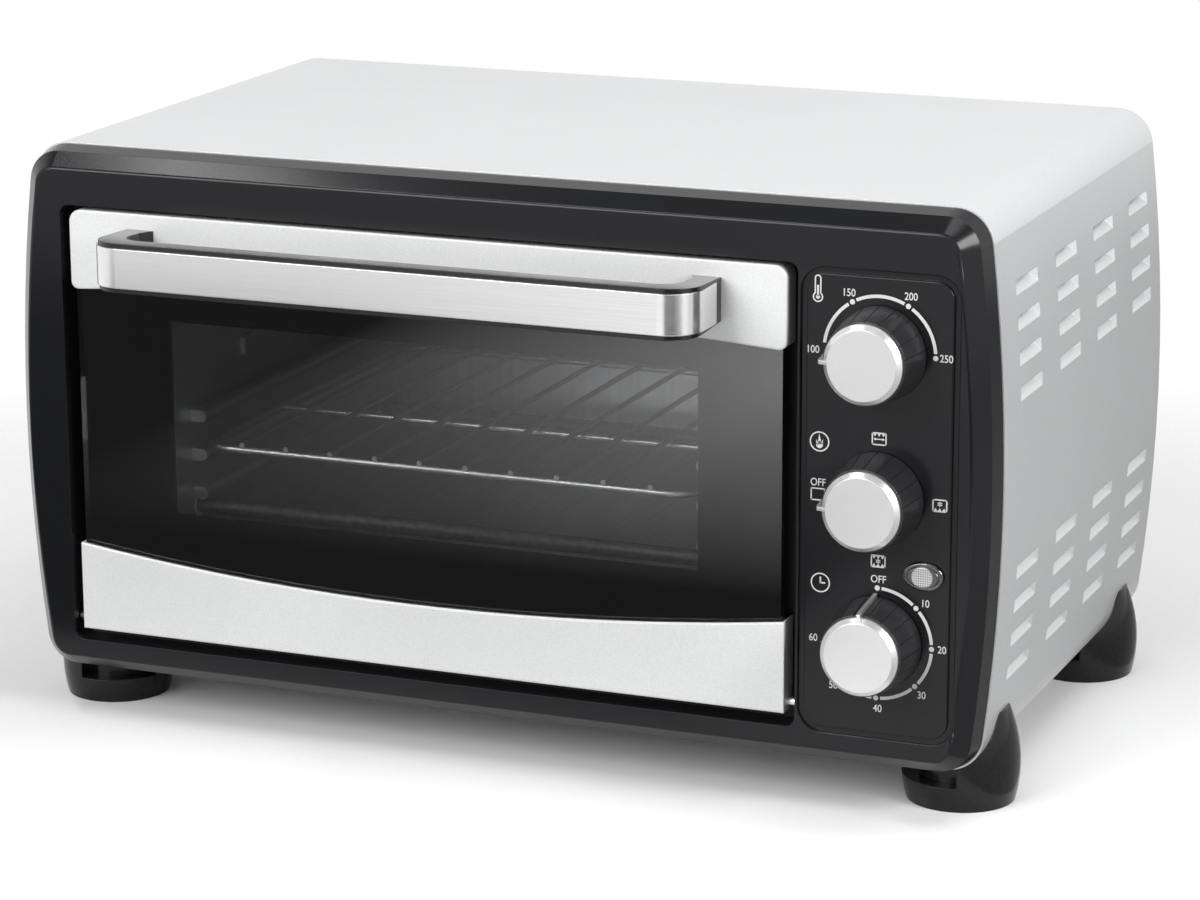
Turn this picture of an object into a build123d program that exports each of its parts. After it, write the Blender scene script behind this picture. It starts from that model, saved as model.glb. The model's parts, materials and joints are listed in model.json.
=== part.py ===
from build123d import *

import os
from math import atan2, cos, degrees, hypot, radians, sin, sqrt

os.makedirs("parts", exist_ok=True)

# Countertop toaster oven, in millimetres. X runs to the right seen from the front, Y to the back and Z up.
# The origin is on the table under the middle of the oven, handle included.

# Body: a barrel outline, flat on top and below, with bowed sides
BODY_WIDTH = 409.0
BODY_TOP = 234.0
BODY_LIFT = 18.0
BODY_DEPTH = 242.0
SIDE_BULGE = 7.7
BODY_CORNER = 15.0
CORNER_LEAST = 3.0
SHEET = 0.8
SHELL_SETBACK = 16.0
FRONT_LIP = 5.0
REAR_LIP = 10.0
BOTTOM_FLANGE = 46.0
SEAT_GAP = 0.3

# Louvres in the sides of the shell
LOUVRE_LENGTH = 29.0
LOUVRE_HEIGHT = 5.4
LOUVRE_DEPTH = 4.0
LOUVRE_END = 3.2
LOUVRE_LIP = 0.6
LOUVRE_BITE = 0.1
LOUVRE_PITCH = 53.5
LOUVRE_COLUMNS = 4
LOUVRE_FIRST = 51.5
LOUVRE_ROWS = 4
LOUVRE_ROW_PITCH = 13.3
LOUVRE_NEAREST_ROW = 34.5

# Bezel: black moulding round the door and the controls
BEZEL_INSET = 0.6
BEZEL_WALL = 2.5
RIM_DEPTH = 15.7
RIM_SLOPE_INSET = 2.2
RIM_SLOPE_DEPTH = 7.0
FACE_INSET = 7.7
RIM_ROUND = 1.6
NECK_DEPTH = 4.3
RIM_WALL = 4.2
OPENING_SIDE_GAP = 4.3
OPENING_LOW_GAP = 5.0
OPENING_HIGH_GAP = 1.6
OPENING_CORNER = 4.0
PAD_WIDTH = 56.5
PAD_HEIGHT = 174.0
PAD_CORNER = 7.0
PAD_GROOVE = 2.3
PAD_GROOVE_DEPTH = 1.3
PAD_GROOVE_ROUND = 0.5

# Controls, one above the other on the pad
PANEL_X = BODY_WIDTH / 2 - 43.9
PANEL_Z = 121.8
TEMPERATURE_Z = 180.4
FUNCTION_Z = 125.4
TIMER_Z = 70.1
SHAFT_RADIUS = 3.0
SHAFT_HOLE_RADIUS = 4.5
SHAFT_FRONT = 14.0
SHAFT_BACK = 18.0
RUNNING_GAP = 0.05
PRESS_GAP = 0.02
KNOB_GAP = 0.8
KNOB_LENGTH = 17.5
KNOB_BASE_RADIUS = 18.0
KNOB_FACE_RADIUS = 15.7
KNOB_GRIP_COUNT = 18
KNOB_GRIP_WIDTH = 0.35
KNOB_GRIP_DEPTH = 0.3
CAP_RADIUS = 15.0
CAP_LENGTH = 3.0
CAP_BEVEL = 1.8
POINTER_WIDTH = 1.4
POINTER_PROUD = 1.5
POINTER_TIP = 1.4
BRACKET_WIDTH = 50.0
BRACKET_HEIGHT = 170.0
BRACKET_SHEET = 1.2
CONTROL_CUT_WIDTH = 42.0
CONTROL_CUT_HEIGHT = 160.0
BUSHING_RADIUS = 4.5
BUSHING_LENGTH = 4.0
NUT_FLATS = 12.0
NUT_LENGTH = 2.4
LAMP_OFFSET_X = 18.4
LAMP_Z = 97.8
LAMP_LONG = 7.85
LAMP_SHORT = 5.55
LAMP_RIM = 1.4
LAMP_PROUD = 1.6
LENS_ROUND = 0.9
LAMP_HOLDER_DEPTH = 7.0

# Door: glass held between an upper and a lower channel, hung on two pins at its lower corners
DOOR_MARGIN = 29.1
CONTROL_WIDTH = 79.9
DOOR_LOW = 38.0
DOOR_WIDTH = BODY_WIDTH - DOOR_MARGIN - CONTROL_WIDTH
DOOR_X = (DOOR_MARGIN - CONTROL_WIDTH) / 2
DOOR_HEIGHT = 172.3
DOOR_DEPTH = 10.0
TRIM_SHEET = 1.0
TRIM_CORNER = 5.0
TRIM_LOW_CORNER = 3.0
TOP_TRIM_END = 32.1
TOP_TRIM_MIDDLE = 26.3
BOTTOM_TRIM_END = 35.8
BOTTOM_TRIM_MIDDLE = 25.6
BACK_LEAF = 8.0
BOTTOM_BACK_LEAF = 14.0
GLASS_THICKNESS = 4.0
GLASS_SIDE_GAP = 1.8
GLASS_TOP_GAP = 4.0
GLASS_BOTTOM_GAP = 8.0
GLASS_CORNER = 4.0
GLASS_FIT = 0.1
HINGE_RISE = 3.2
HINGE_DEPTH = 6.0
PIN_RADIUS = 2.0
PIN_INSIDE = 12.0
PIN_HOLE_GAP = 1.0
EAR_SHEET = 1.5
EAR_DROP = 5.7
EAR_RISE = 12.0
SWING_GAP = 0.4

# Handle: black grip with a metal facing round its front and ends
HANDLE_REACH = 33.5
HANDLE_LENGTH = DOOR_WIDTH - 50.0
HANDLE_Z = 195.8
GRIP_HEIGHT = 19.4
GRIP_FOOT_HEIGHT = 16.7
GRIP_DEPTH = 9.0
GRIP_LEG = 9.0
GRIP_FOOT = 11.5
GRIP_FLARE = 7.0
GRIP_CORNER = 12.5
GRIP_INNER_CORNER = 9.0
FACING_HEIGHT = 15.5
FACING_SHEET = 0.8
FACING_END = 6.8
HANDLE_SCREW_RADIUS = 2.0
HANDLE_SCREW_HEAD = 4.0
HANDLE_SCREW_HEAD_LENGTH = 2.4
HANDLE_SCREW_GRIP = 11.0
SCREW_CLEARANCE = 0.5

# Cavity
CAVITY_WIDTH = DOOR_WIDTH - 77.0
CAVITY_FLOOR = 74.0
CAVITY_ROOF = 203.0
CAVITY_BACK = 221.0
CAVITY_SHEET = 1.0
CAVITY_CORNER = 6.0
FRAME_SHEET = 1.0
FRAME_SILL = 10.0
FRAME_HEAD = 2.0
RAIL_COUNT = 3
RAIL_PITCH = 16.0
RAIL_PROUD = 6.5
RAIL_RADIUS = 2.5
RAIL_START = 14.0
RAIL_LENGTH = 180.0
WALL_PAD_DEPTH = 80.0
WALL_PAD_Z = 143.0
WALL_PAD_LENGTH = 18.0
WALL_PAD_HEIGHT = 9.0
WALL_PAD_PROUD = 2.0
PARTITION_X = DOOR_X + DOOR_WIDTH / 2 - 5.0
PARTITION_TOP = 214.0
PARTITION_FLANGE = 12.0

# Heating rods, two above and two below
ROD_RADIUS = 3.25
ROD_FRONT = 32.0
ROD_REAR = 206.0
LOWER_ROD_Z = 86.0
UPPER_ROD_Z = 193.0
ROD_TAIL = 8.0
TERMINAL_RADIUS = 1.5
TERMINAL_LENGTH = 7.0
BUSH_RADIUS = 5.0
BUSH_FLANGE_RADIUS = 7.0
BUSH_FLANGE = 5.0

# Wire rack
RACK_Z = 112.5
RACK_FRONT = 25.0
RACK_WIDTH = CAVITY_WIDTH - 12.0
RACK_DEPTH = 190.0
RACK_CORNER = 12.0
RACK_WIRE = 1.5
CROSS_WIRE = 1.1
CROSS_COUNT = 10
CROSS_PITCH = (RACK_WIDTH - 35.95) / (CROSS_COUNT - 1)
CROSS_WELD = 0.4
RACK_STAY_DEPTH = 95.0

# Door links and their return springs
LINK_OFFSET = DOOR_WIDTH / 2 - 15.0
LINK_RISE = 30.5
LINK_DEPTH = 17.0
LINK_LENGTH = 100.0
LINK_HALF_HEIGHT = 4.0
LINK_SHEET = 1.5
LINK_GAP = 0.3
RIVET_RADIUS = 2.0
RIVET_HEAD_RADIUS = 3.2
RIVET_HEAD = 1.0
LINK_SLOT_WIDTH = 9.0
LINK_SLOT_LOW = 9.0
LINK_SLOT_HIGH = 42.0
SPRING_RADIUS = 4.5
SPRING_BORE = 3.3
SPRING_WIRE = 0.75
SPRING_LENGTH = 44.0
SPRING_LEAD = 9.0
HOOK_HOLE_RADIUS = 1.5
ANCHOR_HEIGHT = 9.0

# Base plate, rear panel and feet
BASE_HALF_WIDTH = BODY_WIDTH / 2 - 25.5
BASE_SHEET = 1.0
BASE_FLANGE = 24.0
BASE_FOLD = 3.0
BASE_SLOT_LENGTH = 40.0
BASE_SLOT_WIDTH = 4.0
BASE_SLOT_ROWS = 5
BASE_SLOT_PITCH = 14.0
BASE_SLOT_COLUMNS = 3
BASE_SLOT_COLUMN_PITCH = 60.0
PANEL_SHEET = 1.0
VENT_LENGTH = 44.0
VENT_WIDTH = 4.0
VENT_ROWS = 6
VENT_PITCH = 12.0
VENT_COLUMNS = 3
VENT_COLUMN_PITCH = 62.0
VENT_Z = 172.0
REAR_SCREW_X = BODY_WIDTH / 2 - 80.5
REAR_SCREW_RISE = 46.0
GLAND_X = BODY_WIDTH / 2 - 54.5
GLAND_Z = 52.0
GLAND_RADIUS = 9.0
GLAND_NECK = 6.0
GLAND_BORE = 3.6
GLAND_PROUD = 4.0
GLAND_TAIL = 3.0
GLAND_BORE_DEPTH = 3.0
FOOT_X = BODY_WIDTH / 2 - 21.9
FOOT_FRONT = 40.0
FOOT_REAR = 212.0
FOOT_RADIUS = 21.0
FOOT_BELLY_RADIUS = 22.5
FOOT_BELLY_Z = 8.0
FOOT_TOP_RADIUS = 18.0
FOOT_TOP_Z = 37.0
FOOT_LEDGE_Z = 10.0
FOOT_LEDGE_SIDE = 5.0
FOOT_NECK_RADIUS = 16.0
FOOT_RECESS_RADIUS = 7.0
FOOT_RECESS_DEPTH = 9.0
SCREW_RADIUS = 1.5
SCREW_HEAD_RADIUS = 3.0
SCREW_HEAD = 1.8
SCREW_LENGTH = 7.0
BOSS_RADIUS = 3.5
BOSS_TOP_Z = 219.2
BOSS_TOP_X = BODY_WIDTH / 2 - 54.5
BOSS_LEFT_X = 15.9 - BODY_WIDTH / 2
BOSS_LEFT_RISE = 45.0
BOSS_PANEL_Z = (153.5, 98.5)

# Places worked out from the sizes above
REAR_MOST = BODY_DEPTH - SHEET + GLAND_PROUD
FACE_Y = -(REAR_MOST - HANDLE_REACH) / 2
BODY_MIDDLE = (BODY_LIFT + BODY_TOP) / 2
BULGE_RADIUS = (((BODY_TOP - BODY_LIFT) / 2) ** 2 + SIDE_BULGE**2) / (2 * SIDE_BULGE)
NECK_INSET = FRONT_LIP + SEAT_GAP
HOLLOW_INSET = NECK_INSET + RIM_WALL
FRAME_DEPTH = HINGE_DEPTH + hypot(DOOR_DEPTH - HINGE_DEPTH, HINGE_RISE) + SWING_GAP
FRAME_BACK = FRAME_DEPTH + FRAME_SHEET
BRACKET_FRONT = FRAME_DEPTH - BRACKET_SHEET
BASE_LOW = BODY_LIFT + SHEET
BASE_TOP = BASE_LOW + BASE_SHEET
BASE_START = RIM_DEPTH + NECK_DEPTH + SEAT_GAP
PANEL_FRONT = BODY_DEPTH - SHEET - PANEL_SHEET
HINGE_Z = DOOR_LOW + HINGE_RISE
GLASS_FRONT = TRIM_SHEET + GLASS_FIT
GLASS_BACK = GLASS_FRONT + GLASS_THICKNESS
RAIL_TOP = RACK_Z - RACK_WIRE - SEAT_GAP
KNOB_HEIGHTS = {"temperature": TEMPERATURE_Z, "function": FUNCTION_Z, "timer": TIMER_Z}
LAMP_X = PANEL_X + LAMP_OFFSET_X
BEZEL_SCREWS = [(x, BOSS_TOP_Z) for x in (-BOSS_TOP_X, 0, BOSS_TOP_X)] + [
    (BOSS_LEFT_X, BODY_MIDDLE - BOSS_LEFT_RISE),
    (BOSS_LEFT_X, BODY_MIDDLE + BOSS_LEFT_RISE),
]
BRACKET_SCREWS = [(PANEL_X, z) for z in BOSS_PANEL_Z]


def deep(distance):
    """Y of a plane that lies a distance behind the front face."""
    return FACE_Y + distance


def front(distance):
    """Sketch plane facing the front, a distance behind the front face. Extrusions to the back are negative."""
    return Plane.XZ.offset(-deep(distance))


def barrel(inset):
    """Body outline moved inwards by inset on every side."""
    half = BODY_WIDTH / 2 - inset
    shoulder = half - SIDE_BULGE
    low = BODY_LIFT + inset
    high = BODY_TOP - inset
    with BuildLine() as outline:
        Line((-shoulder, high), (shoulder, high))
        ThreePointArc((shoulder, high), (half, BODY_MIDDLE), (shoulder, low))
        Line((shoulder, low), (-shoulder, low))
        ThreePointArc((-shoulder, low), (-half, BODY_MIDDLE), (-shoulder, high))
    make_face(outline.edges())
    fillet(vertices(), max(BODY_CORNER - inset, CORNER_LEAST))


def side_x(z):
    """Half width of the body at a height on its bowed side."""
    return BODY_WIDTH / 2 - BULGE_RADIUS + sqrt(BULGE_RADIUS**2 - (z - BODY_MIDDLE) ** 2)


def save(piece, name):
    """Label a finished piece and write it under its own name."""
    piece.label = name
    export_step(piece, f"parts/{name}.step")


# Outer shell: one wrapped sheet with an inward lip at each end, open underneath between two flanges
SHELL_LENGTH = BODY_DEPTH - SHELL_SETBACK
REAR_SCREW_INSET = (SHEET + REAR_LIP) / 2
REAR_SCREWS = [(x, BODY_TOP - REAR_SCREW_INSET) for x in (-REAR_SCREW_X, 0, REAR_SCREW_X)]
for screw_z in (BODY_MIDDLE - REAR_SCREW_RISE, BODY_MIDDLE + REAR_SCREW_RISE):
    for side in (-1, 1):
        REAR_SCREWS.append((side * (side_x(screw_z) - REAR_SCREW_INSET), screw_z))
FOOT_PLACES = [(x, deep(y)) for x in (-FOOT_X, FOOT_X) for y in (FOOT_FRONT, FOOT_REAR)]


def louvre_places(side, sunk):
    """Places on one side, sunk below its surface, with Y inwards and Z up along the wall."""
    places = []
    for column in range(LOUVRE_COLUMNS):
        y = deep(LOUVRE_FIRST + column * LOUVRE_PITCH)
        for row in range(LOUVRE_ROWS):
            for up in (-1, 1):
                z = BODY_MIDDLE + up * (LOUVRE_NEAREST_ROW + row * LOUVRE_ROW_PITCH)
                lean = (z - BODY_MIDDLE) / BULGE_RADIUS
                outward = Vector(side * sqrt(1 - lean**2), 0, lean)
                along = Vector(-side * lean, 0, sqrt(1 - lean**2))
                start = Vector(side * side_x(z), y, z) - outward * sunk - along * (LOUVRE_HEIGHT / 2)
                places.append(Plane(start, x_dir=(0, side, 0), z_dir=along).location)
    return places


with BuildPart() as outer_shell:
    with BuildSketch(front(SHELL_SETBACK)):
        barrel(0)
    extrude(amount=-SHELL_LENGTH)
    with BuildSketch(front(SHELL_SETBACK + SHEET)):
        barrel(SHEET)
    extrude(amount=-(SHELL_LENGTH - 2 * SHEET), mode=Mode.SUBTRACT)
    with BuildSketch(front(SHELL_SETBACK)):
        barrel(FRONT_LIP)
    extrude(amount=-SHELL_LENGTH / 2, mode=Mode.SUBTRACT)
    with BuildSketch(front(BODY_DEPTH)):
        barrel(REAR_LIP)
    extrude(amount=SHELL_LENGTH / 2, mode=Mode.SUBTRACT)
    with BuildSketch(Plane.XY.offset(BODY_LIFT)):
        with Locations((0, deep(SHELL_SETBACK + SHELL_LENGTH / 2))):
            Rectangle(BODY_WIDTH - 2 * BOTTOM_FLANGE, SHELL_LENGTH)
    extrude(amount=SHEET, mode=Mode.SUBTRACT)
    for side in (-1, 1):
        with Locations(*louvre_places(side, SHEET - LOUVRE_BITE)):
            Wedge(
                LOUVRE_LENGTH + 2 * SHEET,
                LOUVRE_DEPTH + LOUVRE_BITE,
                LOUVRE_HEIGHT,
                LOUVRE_END,
                LOUVRE_HEIGHT - LOUVRE_LIP,
                LOUVRE_LENGTH + 2 * SHEET - LOUVRE_END,
                LOUVRE_HEIGHT,
                align=(Align.CENTER, Align.MIN, Align.MIN),
            )
    for side in (-1, 1):
        with Locations(*louvre_places(side, -LOUVRE_BITE / 2)):
            Wedge(
                LOUVRE_LENGTH,
                LOUVRE_DEPTH + LOUVRE_BITE / 2,
                LOUVRE_HEIGHT,
                LOUVRE_END,
                LOUVRE_HEIGHT - LOUVRE_LIP,
                LOUVRE_LENGTH - LOUVRE_END,
                LOUVRE_HEIGHT,
                align=(Align.CENTER, Align.MIN, Align.MIN),
                mode=Mode.SUBTRACT,
            )
    with BuildSketch(Plane.XY.offset(BODY_LIFT)):
        with Locations(*FOOT_PLACES):
            Circle(SCREW_RADIUS + SCREW_CLEARANCE)
    extrude(amount=SHEET, mode=Mode.SUBTRACT)
    with BuildSketch(front(BODY_DEPTH)):
        with Locations(*REAR_SCREWS):
            Circle(SCREW_RADIUS + RUNNING_GAP)
    extrude(amount=SHEET, mode=Mode.SUBTRACT)
save(outer_shell.part, "outer_shell")


# Base plate: a pan with an upturned flange at the front and the rear, resting on the shell's flanges
with BuildPart() as base_plate:
    with BuildSketch(Plane.YZ.offset(-BASE_HALF_WIDTH)):
        with BuildLine():
            FilletPolyline(
                (deep(BASE_START), BASE_LOW + BASE_FLANGE),
                (deep(BASE_START), BASE_LOW),
                (deep(PANEL_FRONT), BASE_LOW),
                (deep(PANEL_FRONT), BASE_LOW + BASE_FLANGE),
                radius=BASE_FOLD,
            )
            offset(amount=BASE_SHEET, side=Side.LEFT)
        make_face()
    extrude(amount=2 * BASE_HALF_WIDTH)
    with BuildSketch(Plane.XY.offset(BASE_LOW)):
        with Locations((DOOR_X, 0)):
            with GridLocations(BASE_SLOT_COLUMN_PITCH, BASE_SLOT_PITCH, BASE_SLOT_COLUMNS, BASE_SLOT_ROWS):
                SlotOverall(BASE_SLOT_LENGTH, BASE_SLOT_WIDTH)
    extrude(amount=BASE_SHEET, mode=Mode.SUBTRACT)
    with BuildSketch(Plane.XY.offset(BASE_LOW)):
        with Locations(*FOOT_PLACES):
            Circle(SCREW_RADIUS + PRESS_GAP)
    extrude(amount=BASE_SHEET, mode=Mode.SUBTRACT)
save(base_plate.part, "base_plate")


# Rear panel inside the shell's rear lip
with BuildPart() as rear_panel:
    with BuildSketch(front(PANEL_FRONT)):
        barrel(SHEET + SEAT_GAP)
    extrude(amount=-PANEL_SHEET)
    with BuildSketch(front(PANEL_FRONT)):
        with Locations((DOOR_X, VENT_Z)):
            with GridLocations(VENT_COLUMN_PITCH, VENT_PITCH, VENT_COLUMNS, VENT_ROWS):
                SlotOverall(VENT_LENGTH, VENT_WIDTH)
        with Locations((GLAND_X, GLAND_Z)):
            Circle(GLAND_NECK + PRESS_GAP)
        with Locations(*REAR_SCREWS):
            Circle(SCREW_RADIUS + PRESS_GAP)
    extrude(amount=-PANEL_SHEET, mode=Mode.SUBTRACT)
    with BuildSketch(Plane.XY.offset(BODY_LIFT)):
        with Locations((0, deep(PANEL_FRONT))):
            Rectangle(2 * BASE_HALF_WIDTH + 2 * SEAT_GAP, 4 * PANEL_SHEET)
    extrude(amount=SHEET + BASE_SHEET, mode=Mode.SUBTRACT)
save(rear_panel.part, "rear_panel")

with BuildPart() as rear_screws:
    with BuildSketch(front(BODY_DEPTH)):
        with Locations(*REAR_SCREWS):
            Circle(SCREW_HEAD_RADIUS)
    extrude(amount=-SCREW_HEAD)
    with BuildSketch(front(BODY_DEPTH)):
        with Locations(*REAR_SCREWS):
            Circle(SCREW_RADIUS)
    extrude(amount=SCREW_LENGTH)
save(rear_screws.part, "rear_screws")

with BuildPart() as cord_gland:
    with BuildSketch(front(PANEL_FRONT + PANEL_SHEET)):
        with Locations((GLAND_X, GLAND_Z)):
            Circle(GLAND_RADIUS)
    extrude(amount=-GLAND_PROUD)
    fillet(cord_gland.faces().sort_by(Axis.Y)[-1].edges(), GLAND_PROUD / 2)
    with BuildSketch(front(PANEL_FRONT + PANEL_SHEET)):
        with Locations((GLAND_X, GLAND_Z)):
            Circle(GLAND_NECK)
    extrude(amount=PANEL_SHEET + GLAND_TAIL)
    with BuildSketch(front(REAR_MOST)):
        with Locations((GLAND_X, GLAND_Z)):
            Circle(GLAND_BORE)
    extrude(amount=GLAND_BORE_DEPTH, mode=Mode.SUBTRACT)
save(cord_gland.part, "cord_gland")


# Bezel
OPENING_WIDTH = DOOR_WIDTH + 2 * OPENING_SIDE_GAP
OPENING_HEIGHT = DOOR_HEIGHT + OPENING_LOW_GAP + OPENING_HIGH_GAP
OPENING_Z = DOOR_LOW - OPENING_LOW_GAP + OPENING_HEIGHT / 2

with BuildPart() as front_bezel:
    with BuildSketch(front(RIM_DEPTH)):
        barrel(BEZEL_INSET)
    with BuildSketch(front(RIM_SLOPE_DEPTH)):
        barrel(RIM_SLOPE_INSET)
    loft(ruled=True)
    with BuildSketch(front(RIM_SLOPE_DEPTH)):
        barrel(RIM_SLOPE_INSET)
    with BuildSketch(front(0)):
        barrel(FACE_INSET)
    loft(ruled=True)
    fillet(front_bezel.faces().sort_by(Axis.Y)[0].edges(), RIM_ROUND)
    with BuildSketch(front(RIM_DEPTH)):
        barrel(NECK_INSET)
    extrude(amount=-NECK_DEPTH)
    with BuildSketch(front(BEZEL_WALL)):
        barrel(HOLLOW_INSET)
    extrude(amount=-(RIM_DEPTH + NECK_DEPTH), mode=Mode.SUBTRACT)
    with BuildSketch(front(BEZEL_WALL)):
        with Locations((DOOR_X, OPENING_Z)):
            RectangleRounded(
                OPENING_WIDTH + 2 * BEZEL_WALL, OPENING_HEIGHT + 2 * BEZEL_WALL, OPENING_CORNER + BEZEL_WALL
            )
    extrude(amount=-(FRAME_DEPTH - BEZEL_WALL))
    with BuildSketch(front(BEZEL_WALL)):
        with Locations(*BEZEL_SCREWS):
            Circle(BOSS_RADIUS)
    extrude(amount=-(FRAME_DEPTH - BEZEL_WALL))
    with BuildSketch(front(BEZEL_WALL)):
        with Locations(*BRACKET_SCREWS):
            Circle(BOSS_RADIUS)
    extrude(amount=-(BRACKET_FRONT - BEZEL_WALL))
    with BuildSketch(front(0)):
        with Locations((DOOR_X, OPENING_Z)):
            RectangleRounded(OPENING_WIDTH, OPENING_HEIGHT, OPENING_CORNER)
    extrude(amount=-FRAME_DEPTH, mode=Mode.SUBTRACT)
    with BuildSketch(front(0)):
        with Locations((PANEL_X, PANEL_Z)):
            RectangleRounded(PAD_WIDTH + 2 * PAD_GROOVE, PAD_HEIGHT + 2 * PAD_GROOVE, PAD_CORNER + PAD_GROOVE)
            RectangleRounded(PAD_WIDTH, PAD_HEIGHT, PAD_CORNER, mode=Mode.SUBTRACT)
    extrude(amount=-PAD_GROOVE_DEPTH, mode=Mode.SUBTRACT)
    face_edges = front_bezel.edges().filter_by_position(Axis.Y, deep(-SEAT_GAP), deep(SEAT_GAP))
    groove_left = PANEL_X - PAD_WIDTH / 2 - PAD_GROOVE - SEAT_GAP
    groove_right = PANEL_X + PAD_WIDTH / 2 + PAD_GROOVE + SEAT_GAP
    fillet(face_edges.filter_by_position(Axis.X, groove_left, groove_right), PAD_GROOVE_ROUND)
    with BuildSketch(front(0)):
        with Locations(*[(PANEL_X, z) for z in KNOB_HEIGHTS.values()]):
            Circle(SHAFT_HOLE_RADIUS)
        with Locations((LAMP_X, LAMP_Z)):
            Ellipse(LAMP_LONG - LAMP_RIM, LAMP_SHORT - LAMP_RIM)
    extrude(amount=-BEZEL_WALL, mode=Mode.SUBTRACT)
    with BuildSketch(front(FRAME_DEPTH)):
        with Locations(*BEZEL_SCREWS):
            Circle(SCREW_RADIUS + PRESS_GAP)
    extrude(amount=SCREW_LENGTH - FRAME_SHEET + PRESS_GAP, mode=Mode.SUBTRACT)
    with BuildSketch(front(BRACKET_FRONT)):
        with Locations(*BRACKET_SCREWS):
            Circle(SCREW_RADIUS + PRESS_GAP)
    extrude(amount=SCREW_LENGTH - BRACKET_SHEET + PRESS_GAP, mode=Mode.SUBTRACT)
    with BuildSketch(Plane.YZ.offset(DOOR_X - OPENING_WIDTH / 2 - BEZEL_WALL)):
        with Locations((deep(HINGE_DEPTH), HINGE_Z)):
            Circle(PIN_RADIUS + PIN_HOLE_GAP)
    extrude(amount=OPENING_WIDTH + 2 * BEZEL_WALL, mode=Mode.SUBTRACT)
save(front_bezel.part, "front_bezel")

with BuildPart() as bezel_screws:
    for places, seat in ((BEZEL_SCREWS, FRAME_BACK), (BRACKET_SCREWS, FRAME_DEPTH)):
        with BuildSketch(front(seat)):
            with Locations(*places):
                Circle(SCREW_HEAD_RADIUS)
        extrude(amount=-SCREW_HEAD)
        with BuildSketch(front(seat)):
            with Locations(*places):
                Circle(SCREW_RADIUS)
        extrude(amount=SCREW_LENGTH)
save(bezel_screws.part, "bezel_screws")


# Front frame: steel plate behind the bezel, with the cavity mouth, the link slots and the hinge ears
EAR_X = OPENING_WIDTH / 2 + BEZEL_WALL + SEAT_GAP
MOUTH_LOW = CAVITY_FLOOR + FRAME_SILL
MOUTH_HIGH = CAVITY_ROOF - FRAME_HEAD
FRAME_LOW = BODY_LIFT + HOLLOW_INSET + SEAT_GAP

with BuildPart() as front_frame:
    with BuildSketch(front(FRAME_DEPTH)):
        barrel(HOLLOW_INSET + SEAT_GAP)
    extrude(amount=-FRAME_SHEET)
    with BuildSketch(Plane.XY.offset(FRAME_LOW)):
        with Locations((0, deep(FRAME_DEPTH))):
            Rectangle(BASE_HALF_WIDTH * 1.6, BASE_START - FRAME_DEPTH, align=(Align.CENTER, Align.MIN))
    extrude(amount=FRAME_SHEET)
    for side in (-1, 1):
        inner = DOOR_X + side * EAR_X
        with BuildSketch(Plane.YZ.offset(inner)):
            with Locations((deep(FRAME_DEPTH), HINGE_Z - EAR_DROP)):
                Rectangle(FRAME_DEPTH - BEZEL_WALL - SEAT_GAP, EAR_DROP + EAR_RISE, align=(Align.MAX, Align.MIN))
            with Locations((deep(HINGE_DEPTH), HINGE_Z)):
                Circle(PIN_RADIUS + RUNNING_GAP, mode=Mode.SUBTRACT)
        extrude(amount=side * EAR_SHEET)
    with BuildSketch(front(FRAME_DEPTH)):
        with Locations((DOOR_X, (MOUTH_LOW + MOUTH_HIGH) / 2)):
            RectangleRounded(CAVITY_WIDTH, MOUTH_HIGH - MOUTH_LOW, CAVITY_CORNER)
        with Locations((PANEL_X, PANEL_Z)):
            Rectangle(CONTROL_CUT_WIDTH, CONTROL_CUT_HEIGHT)
        with Locations(*[(DOOR_X + side * LINK_OFFSET, DOOR_LOW + LINK_SLOT_LOW) for side in (-1, 1)]):
            Rectangle(LINK_SLOT_WIDTH, LINK_SLOT_HIGH - LINK_SLOT_LOW, align=(Align.CENTER, Align.MIN))
        with Locations(*BEZEL_SCREWS):
            Circle(SCREW_RADIUS + PRESS_GAP)
    extrude(amount=-FRAME_SHEET, mode=Mode.SUBTRACT)
save(front_frame.part, "front_frame")


# Cavity: floor, back and roof in one wrap, and two side walls that stand on the base plate
with BuildPart() as cavity_wrap:
    with BuildSketch(Plane.YZ.offset(DOOR_X - CAVITY_WIDTH / 2)):
        with BuildLine():
            FilletPolyline(
                (deep(FRAME_BACK), CAVITY_FLOOR),
                (deep(CAVITY_BACK), CAVITY_FLOOR),
                (deep(CAVITY_BACK), CAVITY_ROOF),
                (deep(FRAME_BACK), CAVITY_ROOF),
                radius=CAVITY_CORNER,
            )
            offset(amount=CAVITY_SHEET, side=Side.RIGHT)
        make_face()
    extrude(amount=CAVITY_WIDTH)
save(cavity_wrap.part, "cavity_wrap")

NOTCH_DEPTH = BASE_START + BASE_FOLD + SEAT_GAP - FRAME_BACK
NOTCH_HEIGHT = BASE_LOW + BASE_FLANGE + SEAT_GAP - BASE_TOP
WALL_TOP = CAVITY_ROOF + CAVITY_SHEET
WALL_END = CAVITY_BACK + CAVITY_SHEET
ROD_PLACES = [(y, z) for y in (ROD_FRONT, ROD_REAR) for z in (LOWER_ROD_Z, UPPER_ROD_Z)]
SPRING_X = LINK_OFFSET + EAR_SHEET / 2 + LINK_GAP + LINK_SHEET / 2
SPRING_Z = DOOR_LOW + LINK_RISE
LINK_END = LINK_DEPTH + LINK_LENGTH
ANCHOR_DEPTH = LINK_END + 2 * SPRING_LEAD + SPRING_LENGTH

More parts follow.
